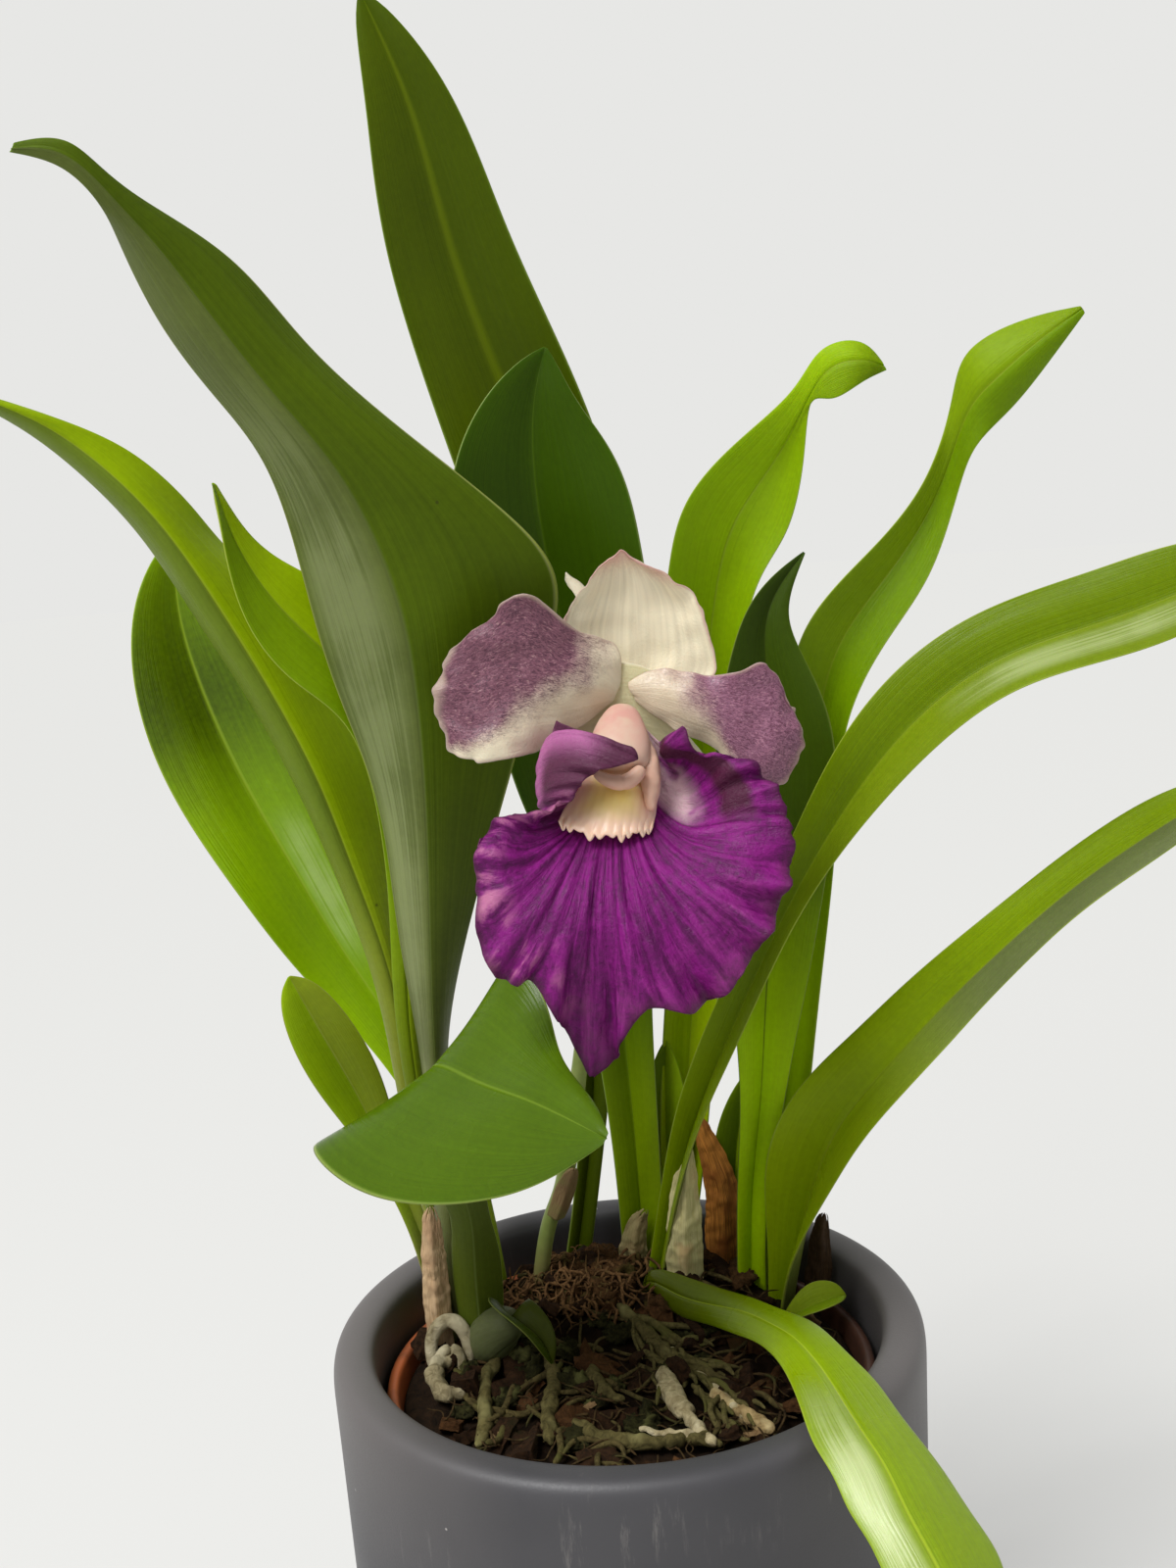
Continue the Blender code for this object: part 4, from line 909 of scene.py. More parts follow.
leaf("leaf_bud", foot=1.5,
     upper=dict(left=(60, 68, 14), right=(58, 72, 6), foot=(74, 80, 30), midrib=(92, 104, 40),
                margin=(120, 128, 60)),
     under=dict(left=(66, 78, 34), right=(62, 76, 30), foot=(74, 80, 40), midrib=(80, 92, 48),
                margin=(120, 128, 60), gloss=0.4),
     half=(1.5, 3, 6.5, 5.5, 1.5), fold=(50, 40, 40), rows=61, swell=0.12,
     spine=[(-24, 7.5, 104), (-24.5, 6, 114), (-26, -1.5, 121.5), (-20.5, -5, 119.5), (-17, -7, 113.5)],
     face=[(0.2, 1, 0.1), (0.2, 0.2, 1), (0.6, -0.9, 0.5)])

# New shoot: the swollen grey-green body from which the short bud leaf grows. It is a bar, thickest in the
# middle, that comes out of the mix at the foot of the left fan.
bud_body = rolled("bud_body", [(-33, 8, 108), (-31, 6.5, 113), (-28, 4, 117), (-24, 2, 119)],
                  (3.5, 5.5, 5.2, 3))
bud_skin = leaf_finish("bud_skin", left=(96, 102, 66), right=(100, 106, 68), foot=(88, 90, 56),
                       midrib=(78, 86, 48), margin=(78, 86, 50), gloss=0.4, veins=0.3)
hand_over(smoothed(bud_body), [bud_skin], "leaf_green")

# Back leaf: the tallest, nearly upright behind the others and glossy. Its dark green is partly its own colour
# and partly painted shade, and the light stripe along its midrib is partly a paler midrib and partly a
# painted highlight.
leaf("leaf_tall",
     upper=dict(left=(74, 90, 0), right=(69, 85, 0), foot=(60, 72, 2), midrib=(98, 114, 8),
                margin=(122, 140, 60), gloss=0.32, midrib_width=0.14, foot_end=0.1),
     under=PLAIN_UNDER, half=(4, 4, 6, 9, 13.5, 17.5, 18.5, 16.5, 13, 7), wave=1.5,
     spine=[(-13, 44, 106), (-5, 48, 150), (-2, 54, 189), (0, 57, 224), (0, 60, 259), (-5, 60, 293),
            (-14, 58, 325), (-23, 54, 356), (-29, 48, 385), (-38, 44, 410)],
     face=[(0.2, -1, 0), (-0.15, -1, 0.1)])

# Centre fan: a broad dark leaf behind the flower, dark partly by its own colour and partly by painted shade,
# a bright one behind it to the right, a long one that crosses to the right in front of the others, and one
# that droops over the pot's rim.
leaf("leaf_broad",
     upper=dict(left=(56, 82, 0), right=(53, 78, 0), foot=(124, 150, 4), midrib=(74, 100, 16),
                margin=(140, 156, 90), gloss=0.36, midrib_width=0.03, margin_width=0.03),
     under=PLAIN_UNDER, half=(6, 7, 8, 9.5, 13, 19, 21, 22, 20, 7), wave=1.5,
     spine=[(5, 35, 111), (5, 38, 141), (4, 40, 170), (3, 40, 196), (2, 38, 222), (-1, 36, 247),
            (-4, 34, 271), (-7, 32, 294), (-7, 31, 316), (-3, 30, 331)],
     face=[(0, -1, 0), (0.1, -1, 0.1)])
leaf("leaf_back_right",
     upper=dict(left=(150, 186, 0), right=(128, 160, 0), foot=(160, 186, 6), midrib=(136, 158, 36),
                margin=(150, 168, 60), gloss=0.34, clear=0.2, shade=0.45, shade_at=0.97, shade_reach=0.14),
     under=dict(left=(116, 128, 70), right=(116, 128, 70), foot=(140, 150, 80), midrib=(150, 160, 90),
                margin=(170, 180, 90), gloss=0.5),
     net=[
         [(9.5, 40, 109), (13, 37, 109), (16.5, 40, 109)],
         [(11.5, 41, 152), (18, 46, 149.5), (23.5, 41, 151)],
         [(15.5, 45, 187.5), (22.5, 50, 185.5), (28.5, 45, 186.5)],
         [(17, 49, 220), (26, 54, 218.5), (33.5, 49, 219)],
         [(18, 51, 253), (29.5, 57, 250.5), (37, 51, 251.5)],
         [(21.5, 52, 278), (33.5, 58, 274.5), (42.5, 52, 274.5)],
         [(27, 52, 295.5), (39, 57, 290.5), (50.5, 52, 287.5)],
         [(39.5, 51, 308.5), (48.5, 55, 303.5), (55, 51, 304)],
         [(52.5, 50, 319), (55, 51, 314.5), (57, 50, 316)],
         [(59.5, 49, 327.5), (61, 48, 323), (61.5, 47, 316.5)],
         [(68, 48, 329), (68, 46, 324.5), (68, 46, 319.5)], [(73, 46, 324), (73.5, 46, 323), (74, 46, 322)]])
leaf("leaf_long_right",
     upper=dict(left=(100, 123, 0), right=(108, 128, 14), foot=(120, 142, 2), midrib=(118, 136, 26),
                margin=(150, 164, 60), gloss=0.3, bloom=0.3, bloom_at=0.78, bloom_reach=0.14, bloom_side=0.72,
                bloom_width=0.2),
     under=PLAIN_UNDER, half=(4.5, 5, 5.5, 6, 6.5, 8.5, 11, 12, 10, 4), wave=1.5,
     fold=(60, 50, 35, 28, 20, 15),
     spine=[(9, 30, 111), (17, 22, 149), (28, 14, 179), (40, 9, 205), (53, 4, 228), (68, 0, 247),
            (87, -3, 260), (110, -6, 267), (131, -9, 274), (152, -12, 277)],
     face=[(-0.6, -0.7, 0.3), (-0.5, -0.8, 0.5), (-0.2, -0.8, 0.7)])
# Its foot is painted dark olive, partly its own colour and partly painted shade.
leaf("leaf_drooping", foot=2, flip=True,
     upper=dict(left=(124, 150, 0), right=(130, 156, 0), foot=(76, 86, 2), midrib=(166, 186, 40),
                margin=(160, 180, 60), gloss=0.26, midrib_width=0.05, shine=0.3, foot_end=0.24, bloom=0.6,
                bloom_at=0.84, bloom_reach=0.34, bloom_side=0.76, bloom_width=0.25),
     under=dict(left=(112, 122, 16), right=(112, 122, 16), foot=(88, 94, 4), midrib=(134, 146, 50),
                margin=(160, 172, 60), gloss=0.4, foot_end=0.12),
     net=[
         [(1, 23, 108), (4, 21.5, 108), (7, 23, 108)],
         [(6, 20, 115.5), (5.5, 21, 117), (6, 22, 119)],
         [(10.5, 12, 114), (11.5, 12.5, 118), (13.5, 15, 121)],
         [(17.5, 4, 114.5), (19, 5, 118.5), (21, 9, 120.5)],
         [(23, -6, 117), (25.5, -4, 121), (28, 1, 121.5)],
         [(27, -15, 119.5), (30.5, -13, 122.5), (33.5, -8, 123)],
         [(30, -25, 121), (35, -23, 123.5), (39.5, -17, 124)],
         [(31.5, -36, 122), (39, -34, 122), (44.5, -28, 123)],
         [(32, -49, 123.5), (41, -46, 122), (48.5, -38, 122)],
         [(33, -58, 122), (43, -56, 121.5), (51.5, -49, 120.5)],
         [(35.5, -64, 119), (45.5, -63, 119), (56.5, -57, 115.5)],
         [(37.5, -69, 115), (47.5, -70, 115.5), (60.5, -65, 110.5)],
         [(40.5, -74, 111), (50, -76, 111.5), (64, -71, 105.5)],
         [(43.5, -80, 106), (52.5, -82, 106.5), (63, -78, 101.5)],
         [(50.5, -86, 101.5), (53, -87, 101.5), (56, -86, 100)]])

# Shoots' feet: two short green leaf feet that close the shoots behind the sheaths. They are small extras, and
# the part has no solid for them.
for name, foot_x, foot_y, top, bend in (("shoot_back", 10, 42, 168, 2), ("shoot_side", 26, 40, 160, 4)):
    leaf(name, extra=True,
         upper=dict(left=(100, 126, 2), right=(128, 156, 4), foot=(120, 144, 4), midrib=(96, 116, 20),
                    margin=(130, 146, 60)),
         under=PLAIN_UNDER, half=(7, 7.5, 7, 6, 2), fold=(34, 30, 26),
         spine=[(foot_x, foot_y, 108), (foot_x + bend * 0.4, foot_y, 125), (foot_x + bend, foot_y, 145),
                (foot_x + bend * 2, foot_y + 1, top)],
         face=[(0, -1, 0), (0, -1, 0)])

# Right fan: a dark pointed leaf, dark partly by its own colour and partly by the flower's painted shadow,
# over a foot painted bright, partly its own green and partly painted light; a bright one with a half twist
# near its end; a wide low one whose grey underside shows along its lower edge; and a short new one.
leaf("leaf_dark",
     upper=dict(left=(46, 64, 4), right=(54, 74, 4), foot=(166, 204, 2), midrib=(46, 60, 8),
                margin=(110, 124, 50), gloss=0.36, foot_end=0.48),
     under=PLAIN_UNDER, half=(4.5, 4.5, 5.5, 7, 9.5, 12, 14, 13.5, 7, 2), wave=1,
     spine=[(30, 28, 107), (31, 26, 133), (34, 24, 157), (36, 23, 177), (38, 22, 197), (40, 23, 216),
            (41, 24, 235), (41, 26, 253), (42, 28, 270), (51, 29, 283)],
     face=[(0, -1, 0), (0, -1, 0)])
# Its foot is painted bright green, partly its own colour and partly painted light against the shade of the
# leaves around it.
leaf("leaf_twisted",
     upper=dict(left=(122, 150, 4), right=(108, 140, 0), foot=(150, 184, 2), midrib=(130, 150, 30),
                margin=(160, 176, 80), gloss=0.3),
     under=PLAIN_UNDER, net=[
         [(31, 29, 105), (35, 31.5, 105), (39, 29, 105)], [(34, 28, 150.5), (40, 33, 148), (45, 28, 149.5)],
         [(39.5, 30, 185), (45.5, 35, 183), (50.5, 30, 184.5)],
         [(43, 32, 217), (50, 37, 215.5), (55.5, 32, 216)],
         [(45.5, 33, 244), (53.5, 38, 241.5), (59.5, 33, 243)],
         [(51, 33, 266), (59.5, 38, 261.5), (70, 33, 262.5)],
         [(66.5, 33, 282.5), (72.5, 37, 278.5), (80, 33, 277)],
         [(79, 33, 297), (82.5, 36, 294), (86.5, 33, 294)],
         [(85.5, 34, 313), (88, 32, 309), (90.5, 30, 304)],
         [(89.5, 33, 324), (93, 28, 316.5), (98.5, 30, 311.5)],
         [(100.5, 30, 329.5), (102, 25, 324), (106, 26, 321)],
         [(111, 22, 331), (111.5, 22, 330.5), (112, 22, 329.5)]])
# Its foot is painted bright green, partly its own colour and partly painted light against the shade of the
# leaves around it.
leaf("leaf_low_right",
     upper=dict(left=(124, 150, 0), right=(96, 106, 60), foot=(140, 164, 6), midrib=(124, 142, 26),
                margin=(150, 164, 60), gloss=0.32, foot_end=0.45),
     under=dict(left=(112, 120, 72), right=(112, 120, 72), foot=(110, 122, 50), midrib=(150, 160, 90),
                margin=(160, 168, 90), gloss=0.5),
     half=(5, 9, 12, 12.5, 11, 8.5, 7.5, 7.5, 6, 3), wave=1.5, fold=(60, 45, 30, 25, 22, 20),
     spine=[(38, 23, 105), (43, 19, 131), (50, 15, 152), (61, 11, 168), (74, 8, 183), (86, 4, 196),
            (99, 1, 208), (112, -2, 218), (126, -5, 227), (140, -8, 233)],
     face=[(-0.8, -0.5, 0.3), (-0.4, -0.7, 0.6), (-0.4, -0.7, 0.6)])
leaf("leaf_small_right", foot=1.5,
     upper=dict(left=(130, 150, 26), right=(120, 146, 16), foot=(114, 124, 30), midrib=(140, 158, 50),
                margin=(150, 160, 70)),
     under=PLAIN_UNDER, half=(2, 2.5, 5, 3), fold=(40, 40), rows=33,
     spine=[(36, 11, 105), (37, 10.5, 110), (42, 9.5, 114), (50, 10, 116)],
     face=[(0, -0.5, 1), (0, -0.5, 1)])

# Dry sheaths: old papery leaf feet that wrap the shoots, split and frayed at the top, tan with dark fibres.
# Each is laid as a short leaf, and its end is then pulled back by a jagged amount.


def frayed(grid, depth, seed):
    """Pull the end of a sheet back by a jagged amount from strip to strip."""
    start = 0.55
    rows, cols, _ = grid.shape
    fray = grid.copy()
    for j in range(cols):
        cut = 1 - depth * abs(noise.noise(Vector((j * 0.9, seed, 0))))
        for i in range(rows):
            t = i / (rows - 1)
            if t > start:
                back = start + (t - start) * cut
                k = back * (rows - 1)
                low = min(int(k), rows - 2)
                fray[i, j] = grid[low, j] * (1 - k + low) + grid[low + 1, j] * (k - low)
    return fray


def paper_group():
    """Node group for dry leaf paper: fibres along its length, with soft stains."""
    paper, given, result = surface_group("paper_surface", ("Dark", "Light", "Patch"), {}, ("Color", "Height"))
    spread = paper.add("TexCoord").outputs
    grain = paper.add("Mapping", {"Vector": spread["UV"], "Scale": (22, 2, 1)}).outputs[0]
    fibre = paper.cloud(grain, 2, 7, Roughness=0.7, Distortion=0.3)
    stain = paper.ramp(paper.cloud(spread["Object"], 130, 4), 0.5, 0.68)
    base = paper.blend(paper.ramp(fibre, 0.34, 0.66), given["Dark"], given["Light"])
    paper.link(paper.blend(stain, base, given["Patch"]), result["Color"])
    paper.link(fibre, result["Height"])
    return paper.tree


paper_surface = paper_group()


def paper_finish(name, dark, light, patch):
    """Dry leaf paper in its own colours."""
    finish = Finish(name, {"Roughness": 0.75, "Specular IOR Level": 0.2})
    return surfaced(finish, paper_surface, {"Dark": dark, "Light": light, "Patch": patch}, {}, 0.6, 0.6)


SHEATHS = {
    "sheath_left": ((168, 134, 94), (236, 206, 164), (196, 160, 122), dict(
        half=(3.5, 4, 3.5, 2), fold=(45, 30),
        spine=[(-42.5, 8, 104), (-42.6, 7.5, 118), (-42.4, 7, 132), (-41.9, 6, 146)])),
    "sheath_brown": ((116, 66, 20), (236, 158, 70), (156, 94, 40), dict(
        half=(4, 5.5, 5, 3.5, 1.5), fold=(35, 30),
        spine=[(24, 34, 107), (25, 33.5, 122), (24.5, 33.5, 135), (21.5, 34.5, 146), (19.5, 36, 153)])),
    "sheath_pale": ((200, 190, 122), (246, 236, 180), (216, 184, 130), dict(
        half=(5, 5.5, 5, 3.5, 1), fold=(40, 30),
        spine=[(14.6, 22.5, 109), (14.5, 20.5, 119), (14.9, 20, 130), (15.7, 21, 140), (17, 23, 151)])),
    "sheath_low": ((140, 130, 82), (200, 186, 134), (160, 134, 94), dict(
        half=(4, 4.5, 3.5, 1.5), fold=(40, 30),
        spine=[(3, 30, 109), (2.5, 29.5, 117), (3.5, 30, 125), (6.5, 30.5, 131)])),
    "sheath_dark": ((40, 28, 16), (84, 62, 38), (60, 44, 26), dict(
        half=(3, 3.5, 3, 1.5), fold=(30, 30),
        spine=[(44, 20, 108), (45.5, 20.5, 116), (46.3, 21, 124), (47.5, 21.5, 131)])),
}
for name, (dark, light, patch, shape) in SHEATHS.items():
    grid = frayed(blade(rows=61, cols=25, face=[(0, 1, 0), (0, 1, 0)], **shape), 0.6, len(name))
    sheath = roughened(walled(name + "_paper", grid, 0.5), 0.45, 2.4, len(name))
    stands_for = [name] if name in ("sheath_left", "sheath_brown", "sheath_pale") else []
    paper = paper_finish(name + "_paper", dark, light, patch)
    hand_over(smoothed(sheath), [paper], "dry_sheath", *stands_for)

# Flower stalk: pale green and round, with a swollen brown-ringed joint where a small bract sits, and the
# ovary, a thicker curved piece that carries the flower.


def stalk_finish():
    """Smooth green skin, brown at the foot, with a soft mottle."""
    skin = Finish("stalk_skin", {
        "Roughness": 0.42, "Specular IOR Level": 0.4, "Subsurface Weight": 0.1, "Subsurface Scale": 0.002})
    place = skin.place()
    height = skin.add("SeparateXYZ", {0: place}).outputs["Z"]
    tone = skin.blend(skin.ramp(height, 0.108, 0.128), paint(134, 104, 78), paint(132, 146, 76))
    shade = skin.ramp(skin.cloud(place, 260, 5), 0, 1, 0.75, 1.3)
    return skin.dress(skin.add("HueSaturation", {"Color": tone, "Value": shade}).outputs[0])


stalk_skin = stalk_finish()
flower_stalk = rolled("flower_stalk_stem", [
    (-21, 29, 109), (-17, 26, 130), (-12.5, 23, 142), (-8, 17, 165), (-3, 8, 195), (1, 0, 220),
    (4, -4.5, 240)], (2.3, 1.9, 2.2, 1.8, 1.8, 1.8, 1.8), rows=70)
hand_over(smoothed(flower_stalk), [stalk_skin], "stalk_green", "flower_stalk")
ovary = rolled("ovary_stem", [(4.2, -4.7, 240.5), (5.6, -5.6, 247), (7.2, -7.2, 253), (8, -11.1, 258.4)],
               (1.8, 2.1, 2.3, 2.6), rows=30)
hand_over(smoothed(ovary), [stalk_skin], "stalk_green", "ovary")
bract_grid = frayed(blade(half=(2.6, 3, 2.6, 1.2), fold=(35, 35), rows=31, cols=13, spine=[
    (-14.9, 21.7, 133.5), (-13.2, 20.5, 137.5), (-11.6, 19, 142), (-9.5, 15.5, 148.5)],
    face=[(-0.2, 1, 0), (-0.2, 1, 0)]), 0.25, 4)
hand_over(smoothed(walled("stalk_bract_paper", bract_grid, 0.7)),
          [paper_finish("bract_paper", (104, 72, 48), (160, 138, 96), (128, 124, 72))],
          "stalk_green", "stalk_bract")

# Sepals and petals: soft waxy sheets with fine veins and glistening cells. The sepals are cream; the two
# petals are white at their foot and stained mauve outwards, in fibrous mottling with a pale margin.


def crumpled(grid, depth, size, seed, margin):
    """Push a sheet in and out by a smooth noise, more towards its long edges and its end."""
    rows, cols, _ = grid.shape
    t = np.linspace(0, 1, rows)[:, None]
    u = np.abs(np.linspace(-1, 1, cols))[None, :]
    free = 1 + margin * np.maximum(u, t)**4
    push = np.array([[noise.noise(Vector(p / size) + Vector((seed, seed, 0))) for p in row] for row in grid])
    wavy = np.array([[noise.noise(Vector(p / 2.2)) for p in row] for row in grid]) * np.maximum(u, t)**6
    grid = grid + (grid - grid[0].mean(axis=0)) * 0.03 * wavy[..., None]
    return grid + normals(grid) * (push * depth * free * np.minimum(t * 5, 1))[..., None]


def petal_group():
    """Node group for a petal: pale ground, mauve stain beyond a curved border, veins and pale margin."""
    petal, given, result = surface_group("petal_surface", ("Ground", "Stain", "Deep Stain", "Margin"), {
        "Border Start": 0.3, "Border Rise": 0.7, "Border Power": 3.0, "Border Blur": 0.1, "Veins": 0.2})
    spread = petal.add("TexCoord").outputs
    across, outwards, _ = petal.add("SeparateXYZ", {0: spread["UV"]}).outputs
    fibres = petal.add("CombineXYZ", {0: petal.times(across, 44), 1: petal.times(outwards, 26)}).outputs[0]
    fibre = petal.cloud(fibres, 1.6, 6, Roughness=0.75, Distortion=1.2)
    lines = petal.add("CombineXYZ", {0: petal.times(across, 26), 1: petal.times(outwards, 1.6)}).outputs[0]
    vein = petal.cloud(lines, 1, 2)
    haze = petal.cloud(spread["Object"], 130, 3)
    glint = petal.cloud(spread["Object"], 2400, 1)
    curve = petal.times(given["Border Rise"], petal.maths("POWER", across, given["Border Power"]))
    past = petal.maths("SUBTRACT", outwards, petal.plus(given["Border Start"], curve))
    wander = petal.times(petal.maths("SUBTRACT", petal.plus(fibre, haze), 1), 0.4)
    blur = given["Border Blur"]
    stained = petal.ease(petal.plus(past, wander), petal.times(blur, -1), blur)
    tone = petal.blend(petal.ease(fibre, 0.35, 0.65), given["Stain"], given["Deep Stain"])
    veined = petal.plus(1, petal.swing(vein, given["Veins"]))
    ground = petal.add("HueSaturation", {"Color": given["Ground"], "Value": veined}).outputs[0]
    body = petal.blend(petal.times(stained, petal.ease(fibre, 0.3, 0.42, 0.55, 1)), ground, tone)
    edge = petal.maths("MAXIMUM", petal.times(petal.gap(across, 0.5), 2), outwards)
    rim = petal.times(petal.ease(petal.plus(edge, petal.swing(haze, 0.1)), 0.93, 1), 0.75)
    petal.link(petal.blend(rim, body, given["Margin"]), result["Color"])
    petal.link(petal.ease(glint, 0.3, 0.7, 0.3, 0.6), result["Roughness"])
    petal.link(petal.plus(petal.times(vein, 0.6), petal.times(glint, 0.35)), result["Height"])
    return petal.tree


petal_surface = petal_group()


def petal_finish(name, ground, stain, deep, margin, **amounts):
    """A petal's colours; amounts set the petal surface group."""
    finish = Finish(name, {
        "Specular IOR Level": 0.4, "Subsurface Weight": 0.25, "Subsurface Radius": (1.0, 0.7, 0.6),
        "Subsurface Scale": 0.0015})
    colours = {"Ground": ground, "Stain": stain, "Deep Stain": deep, "Margin": margin}
    return surfaced(finish, petal_surface, colours, amounts, 0.5, 0.4)


CREAM = (216, 204, 178)
MAUVE = (136, 88, 104)
DEEP_MAUVE = (70, 32, 50)
PETALS = {
    "dorsal_sepal": ("sepal_cream", dict(
        ground=(226, 214, 186), stain=(214, 176, 160), deep=(184, 134, 130), margin=(184, 140, 132),
        border_start=0.86, border_rise=0.0, border_blur=0.2, veins=0.55), [
        [(6.5, -12, 258.5), (7.5, -12, 259), (8, -12, 259.5), (8.5, -12, 259), (9.5, -12, 258.5)],
        [(0, -12, 266.5), (4, -9, 264.5), (10, -8, 263.5), (18, -9, 261.5), (25, -12, 260.5)],
        [(-3, -11, 273.5), (3, -8, 272), (10.5, -7, 271), (19.5, -8, 270), (26.5, -11, 267)],
        [(0.5, -11, 279.5), (5.5, -8, 279.5), (11, -7, 279), (18.5, -8, 277.5), (25, -11, 274)],
        [(4, -11, 283.5), (7, -9, 284.5), (10.5, -8, 284.5), (15, -9, 283), (21, -11, 279.5)],
        [(8, -11, 286.5), (9, -11, 287), (9.5, -11, 287.5), (10.5, -11, 286.5), (11.5, -11, 286)]]),
    "petal_left": ("petal_mauve", dict(
        ground=CREAM, stain=MAUVE, deep=DEEP_MAUVE, margin=(180, 160, 144),
        border_start=0.27, border_rise=0.75, border_power=3.0, border_blur=0.15), [
        [(7.5, -13.3, 261.5), (7, -13.3, 260.5), (6.5, -13.3, 259.5), (6, -13.3, 258.5), (5.5, -13.3, 258)],
        [(7, -14, 269.5), (4, -16, 264.5), (2, -17, 261), (0.5, -16, 257.5), (-1, -15, 253.5)],
        [(-0.5, -16, 273), (-3, -18, 268), (-4.5, -19, 262.5), (-6.5, -18, 256.5), (-7.5, -16, 250)],
        [(-9.5, -21, 281), (-11.5, -19, 272), (-13, -19, 264), (-14.5, -20, 256.5), (-15.5, -21, 249)],
        [(-17.5, -18, 276.5), (-20, -18, 270), (-21.5, -18, 263), (-22.5, -19, 255.5), (-23, -20, 249)],
        [(-25.5, -16, 270.5), (-28, -16, 266), (-29.5, -16, 262), (-29, -16, 257), (-27, -17, 251)]]),
    "petal_right": ("petal_mauve", dict(
        ground=(208, 192, 166), stain=(160, 108, 132), deep=(84, 40, 62), margin=(172, 146, 136),
        border_start=0.28, border_rise=0.55, border_power=5.0, border_blur=0.16), [
        [(9, -13.3, 261.5), (9, -13.3, 260.5), (9.5, -13.3, 259.5), (10, -13.3, 259), (10, -13.3, 258)],
        [(15, -14, 264), (15.5, -16, 261), (16.5, -17, 258), (17, -17, 255), (17.5, -16, 252)],
        [(23.5, -16, 262.5), (23.5, -18, 259), (24, -19, 255.5), (24, -19, 252), (24.5, -18, 248)],
        [(31.5, -18, 263), (31.5, -18, 257.5), (31, -19, 252.5), (29.5, -20, 248), (27.5, -20, 244.5)],
        [(36, -18, 264), (38, -17, 258), (38.5, -18, 251), (36, -20, 244.5), (32, -21, 240)],
        [(40, -16, 257), (42, -15, 252.5), (43, -15, 248), (41.5, -16, 243), (38.5, -18, 239.5)]]),
    "sepal_left": ("sepal_cream", dict(
        ground=CREAM, stain=CREAM, deep=CREAM, margin=CREAM, veins=0.25), [
        [(4.3, -10, 257.3), (4.7, -10, 258), (5.1, -10, 258.8)], [(2, -4, 266), (4, -3, 267), (6, -3, 267.5)],
        [(2, 0, 274), (4, 2, 274.5), (6, 3, 274)], [(-2.4, 5, 282), (-1.8, 6, 283.5), (-1, 7, 282.5)]]),
    "sepal_right": ("sepal_cream", dict(
        ground=CREAM, stain=CREAM, deep=CREAM, margin=CREAM, veins=0.25), [
        [(10.7, -10, 255.7), (11.3, -10, 256.6), (11.9, -10, 257.4)],
        [(13, -4, 247.5), (15.5, -2, 249.5), (18.5, -2, 251)],
        [(18, 2, 237.5), (21.5, 4, 240), (25, 5, 242)], [(26, 8, 230.5), (27, 8, 231.5), (27.5, 8, 232.5)]]),
}
for name, (slot, look, net) in PETALS.items():
    grid = crumpled(sheet(net, rows=49, cols=37), depth=0.5, size=4.5, seed=len(name), margin=1.2)
    petal = smoothed(walled(name + "_sheet", grid, 0.6, foot=1.3, foot_end=0.3, margin=0.4))
    hand_over(petal, [petal_finish(name + "_skin", **look)], slot, name)

# Lip: the large purple petal. It hangs from the foot of the column; its two side lobes roll up beside the
# column and its front fans out in ribs to a ruffled, ragged margin.
LIP = [
    [(5.9, -13.9, 253.8), (-1.3, -16.5, 251.3), (-6, -22, 252.5), (-5.5, -25.5, 256.5)],
    [(3.5, -15, 250.5), (-5, -18, 250.5), (-5.5, -26, 254), (2, -31, 253.5)],
    [(1, -16.5, 247.5), (-8.5, -20, 249.5), (-3.5, -30, 254.5), (9.5, -35, 250)],
    [(-1, -19, 244), (-10, -22, 245), (-5.5, -31.5, 249.5), (3, -35.5, 248)],
    [(-2.5, -21.5, 241), (-10, -24.5, 241), (-7, -32, 244.5), (-1.5, -35, 245.5)],
    [(-4, -24, 238.5), (-9.5, -27, 238.5), (-8, -32, 240), (-6, -34, 241)],
    [(-4.5, -25.5, 237), (-11, -31, 236.5), (-14, -34, 238.5), (-17, -34, 240)],
    [(-4, -26.5, 236), (-12.5, -34, 233), (-17.5, -37.5, 234.5), (-22, -37, 234.5)],
    [(-3, -27, 235.5), (-11, -36, 229), (-17.5, -40, 225.5), (-23.5, -39, 222.5)],
    [(-1.5, -27.5, 235), (-8, -37.5, 226), (-13.5, -41, 217.5), (-19, -41, 209.5)],
    [(0.5, -27.5, 235), (-4, -38, 224), (-7.5, -41, 214.5), (-11, -39, 205)],
    [(2.5, -27.5, 235), (0, -38, 223), (-1, -38.5, 208.5), (-3, -31, 187)],
    [(4.5, -27.5, 235), (4, -38, 223.5), (5, -42, 212.5), (6, -42, 201.5)],
    [(6.5, -27.5, 235), (8, -37, 225), (11.5, -42, 214), (16, -42, 202)],
    [(8.5, -27, 235.5), (11.5, -35.5, 227), (18.5, -41, 218), (25, -42, 207.5)],
    [(10, -26, 236), (14.5, -33.5, 229.5), (23.5, -39, 223), (32.5, -40, 217)],
    [(11, -24.5, 237.5), (17, -31, 232), (26.5, -36, 229.5), (37.5, -36, 227.5)],
    [(11.8, -23, 239), (18.5, -27.5, 234), (28.5, -31, 235.5), (38, -32, 235.5)],
    [(12.3, -21, 241.5), (19, -24, 236.5), (27.5, -28, 241), (35, -28, 242.5)],
    [(12.5, -19, 244.5), (18.5, -21, 240.5), (24.5, -26.5, 246), (28.5, -27, 247.5)],
    [(12.3, -17, 248), (17, -19, 244.5), (19, -25, 248.5), (21.5, -27, 248)],
    [(11.8, -15.5, 251), (15.5, -18.5, 246.5), (14.5, -25, 249), (19, -28, 253.5)],
    [(10.7, -13.7, 253.8), (14, -17, 250), (15, -21, 251), (17.5, -24, 252.5)],
]
LIP_ROWS, LIP_COLS = 253, 45
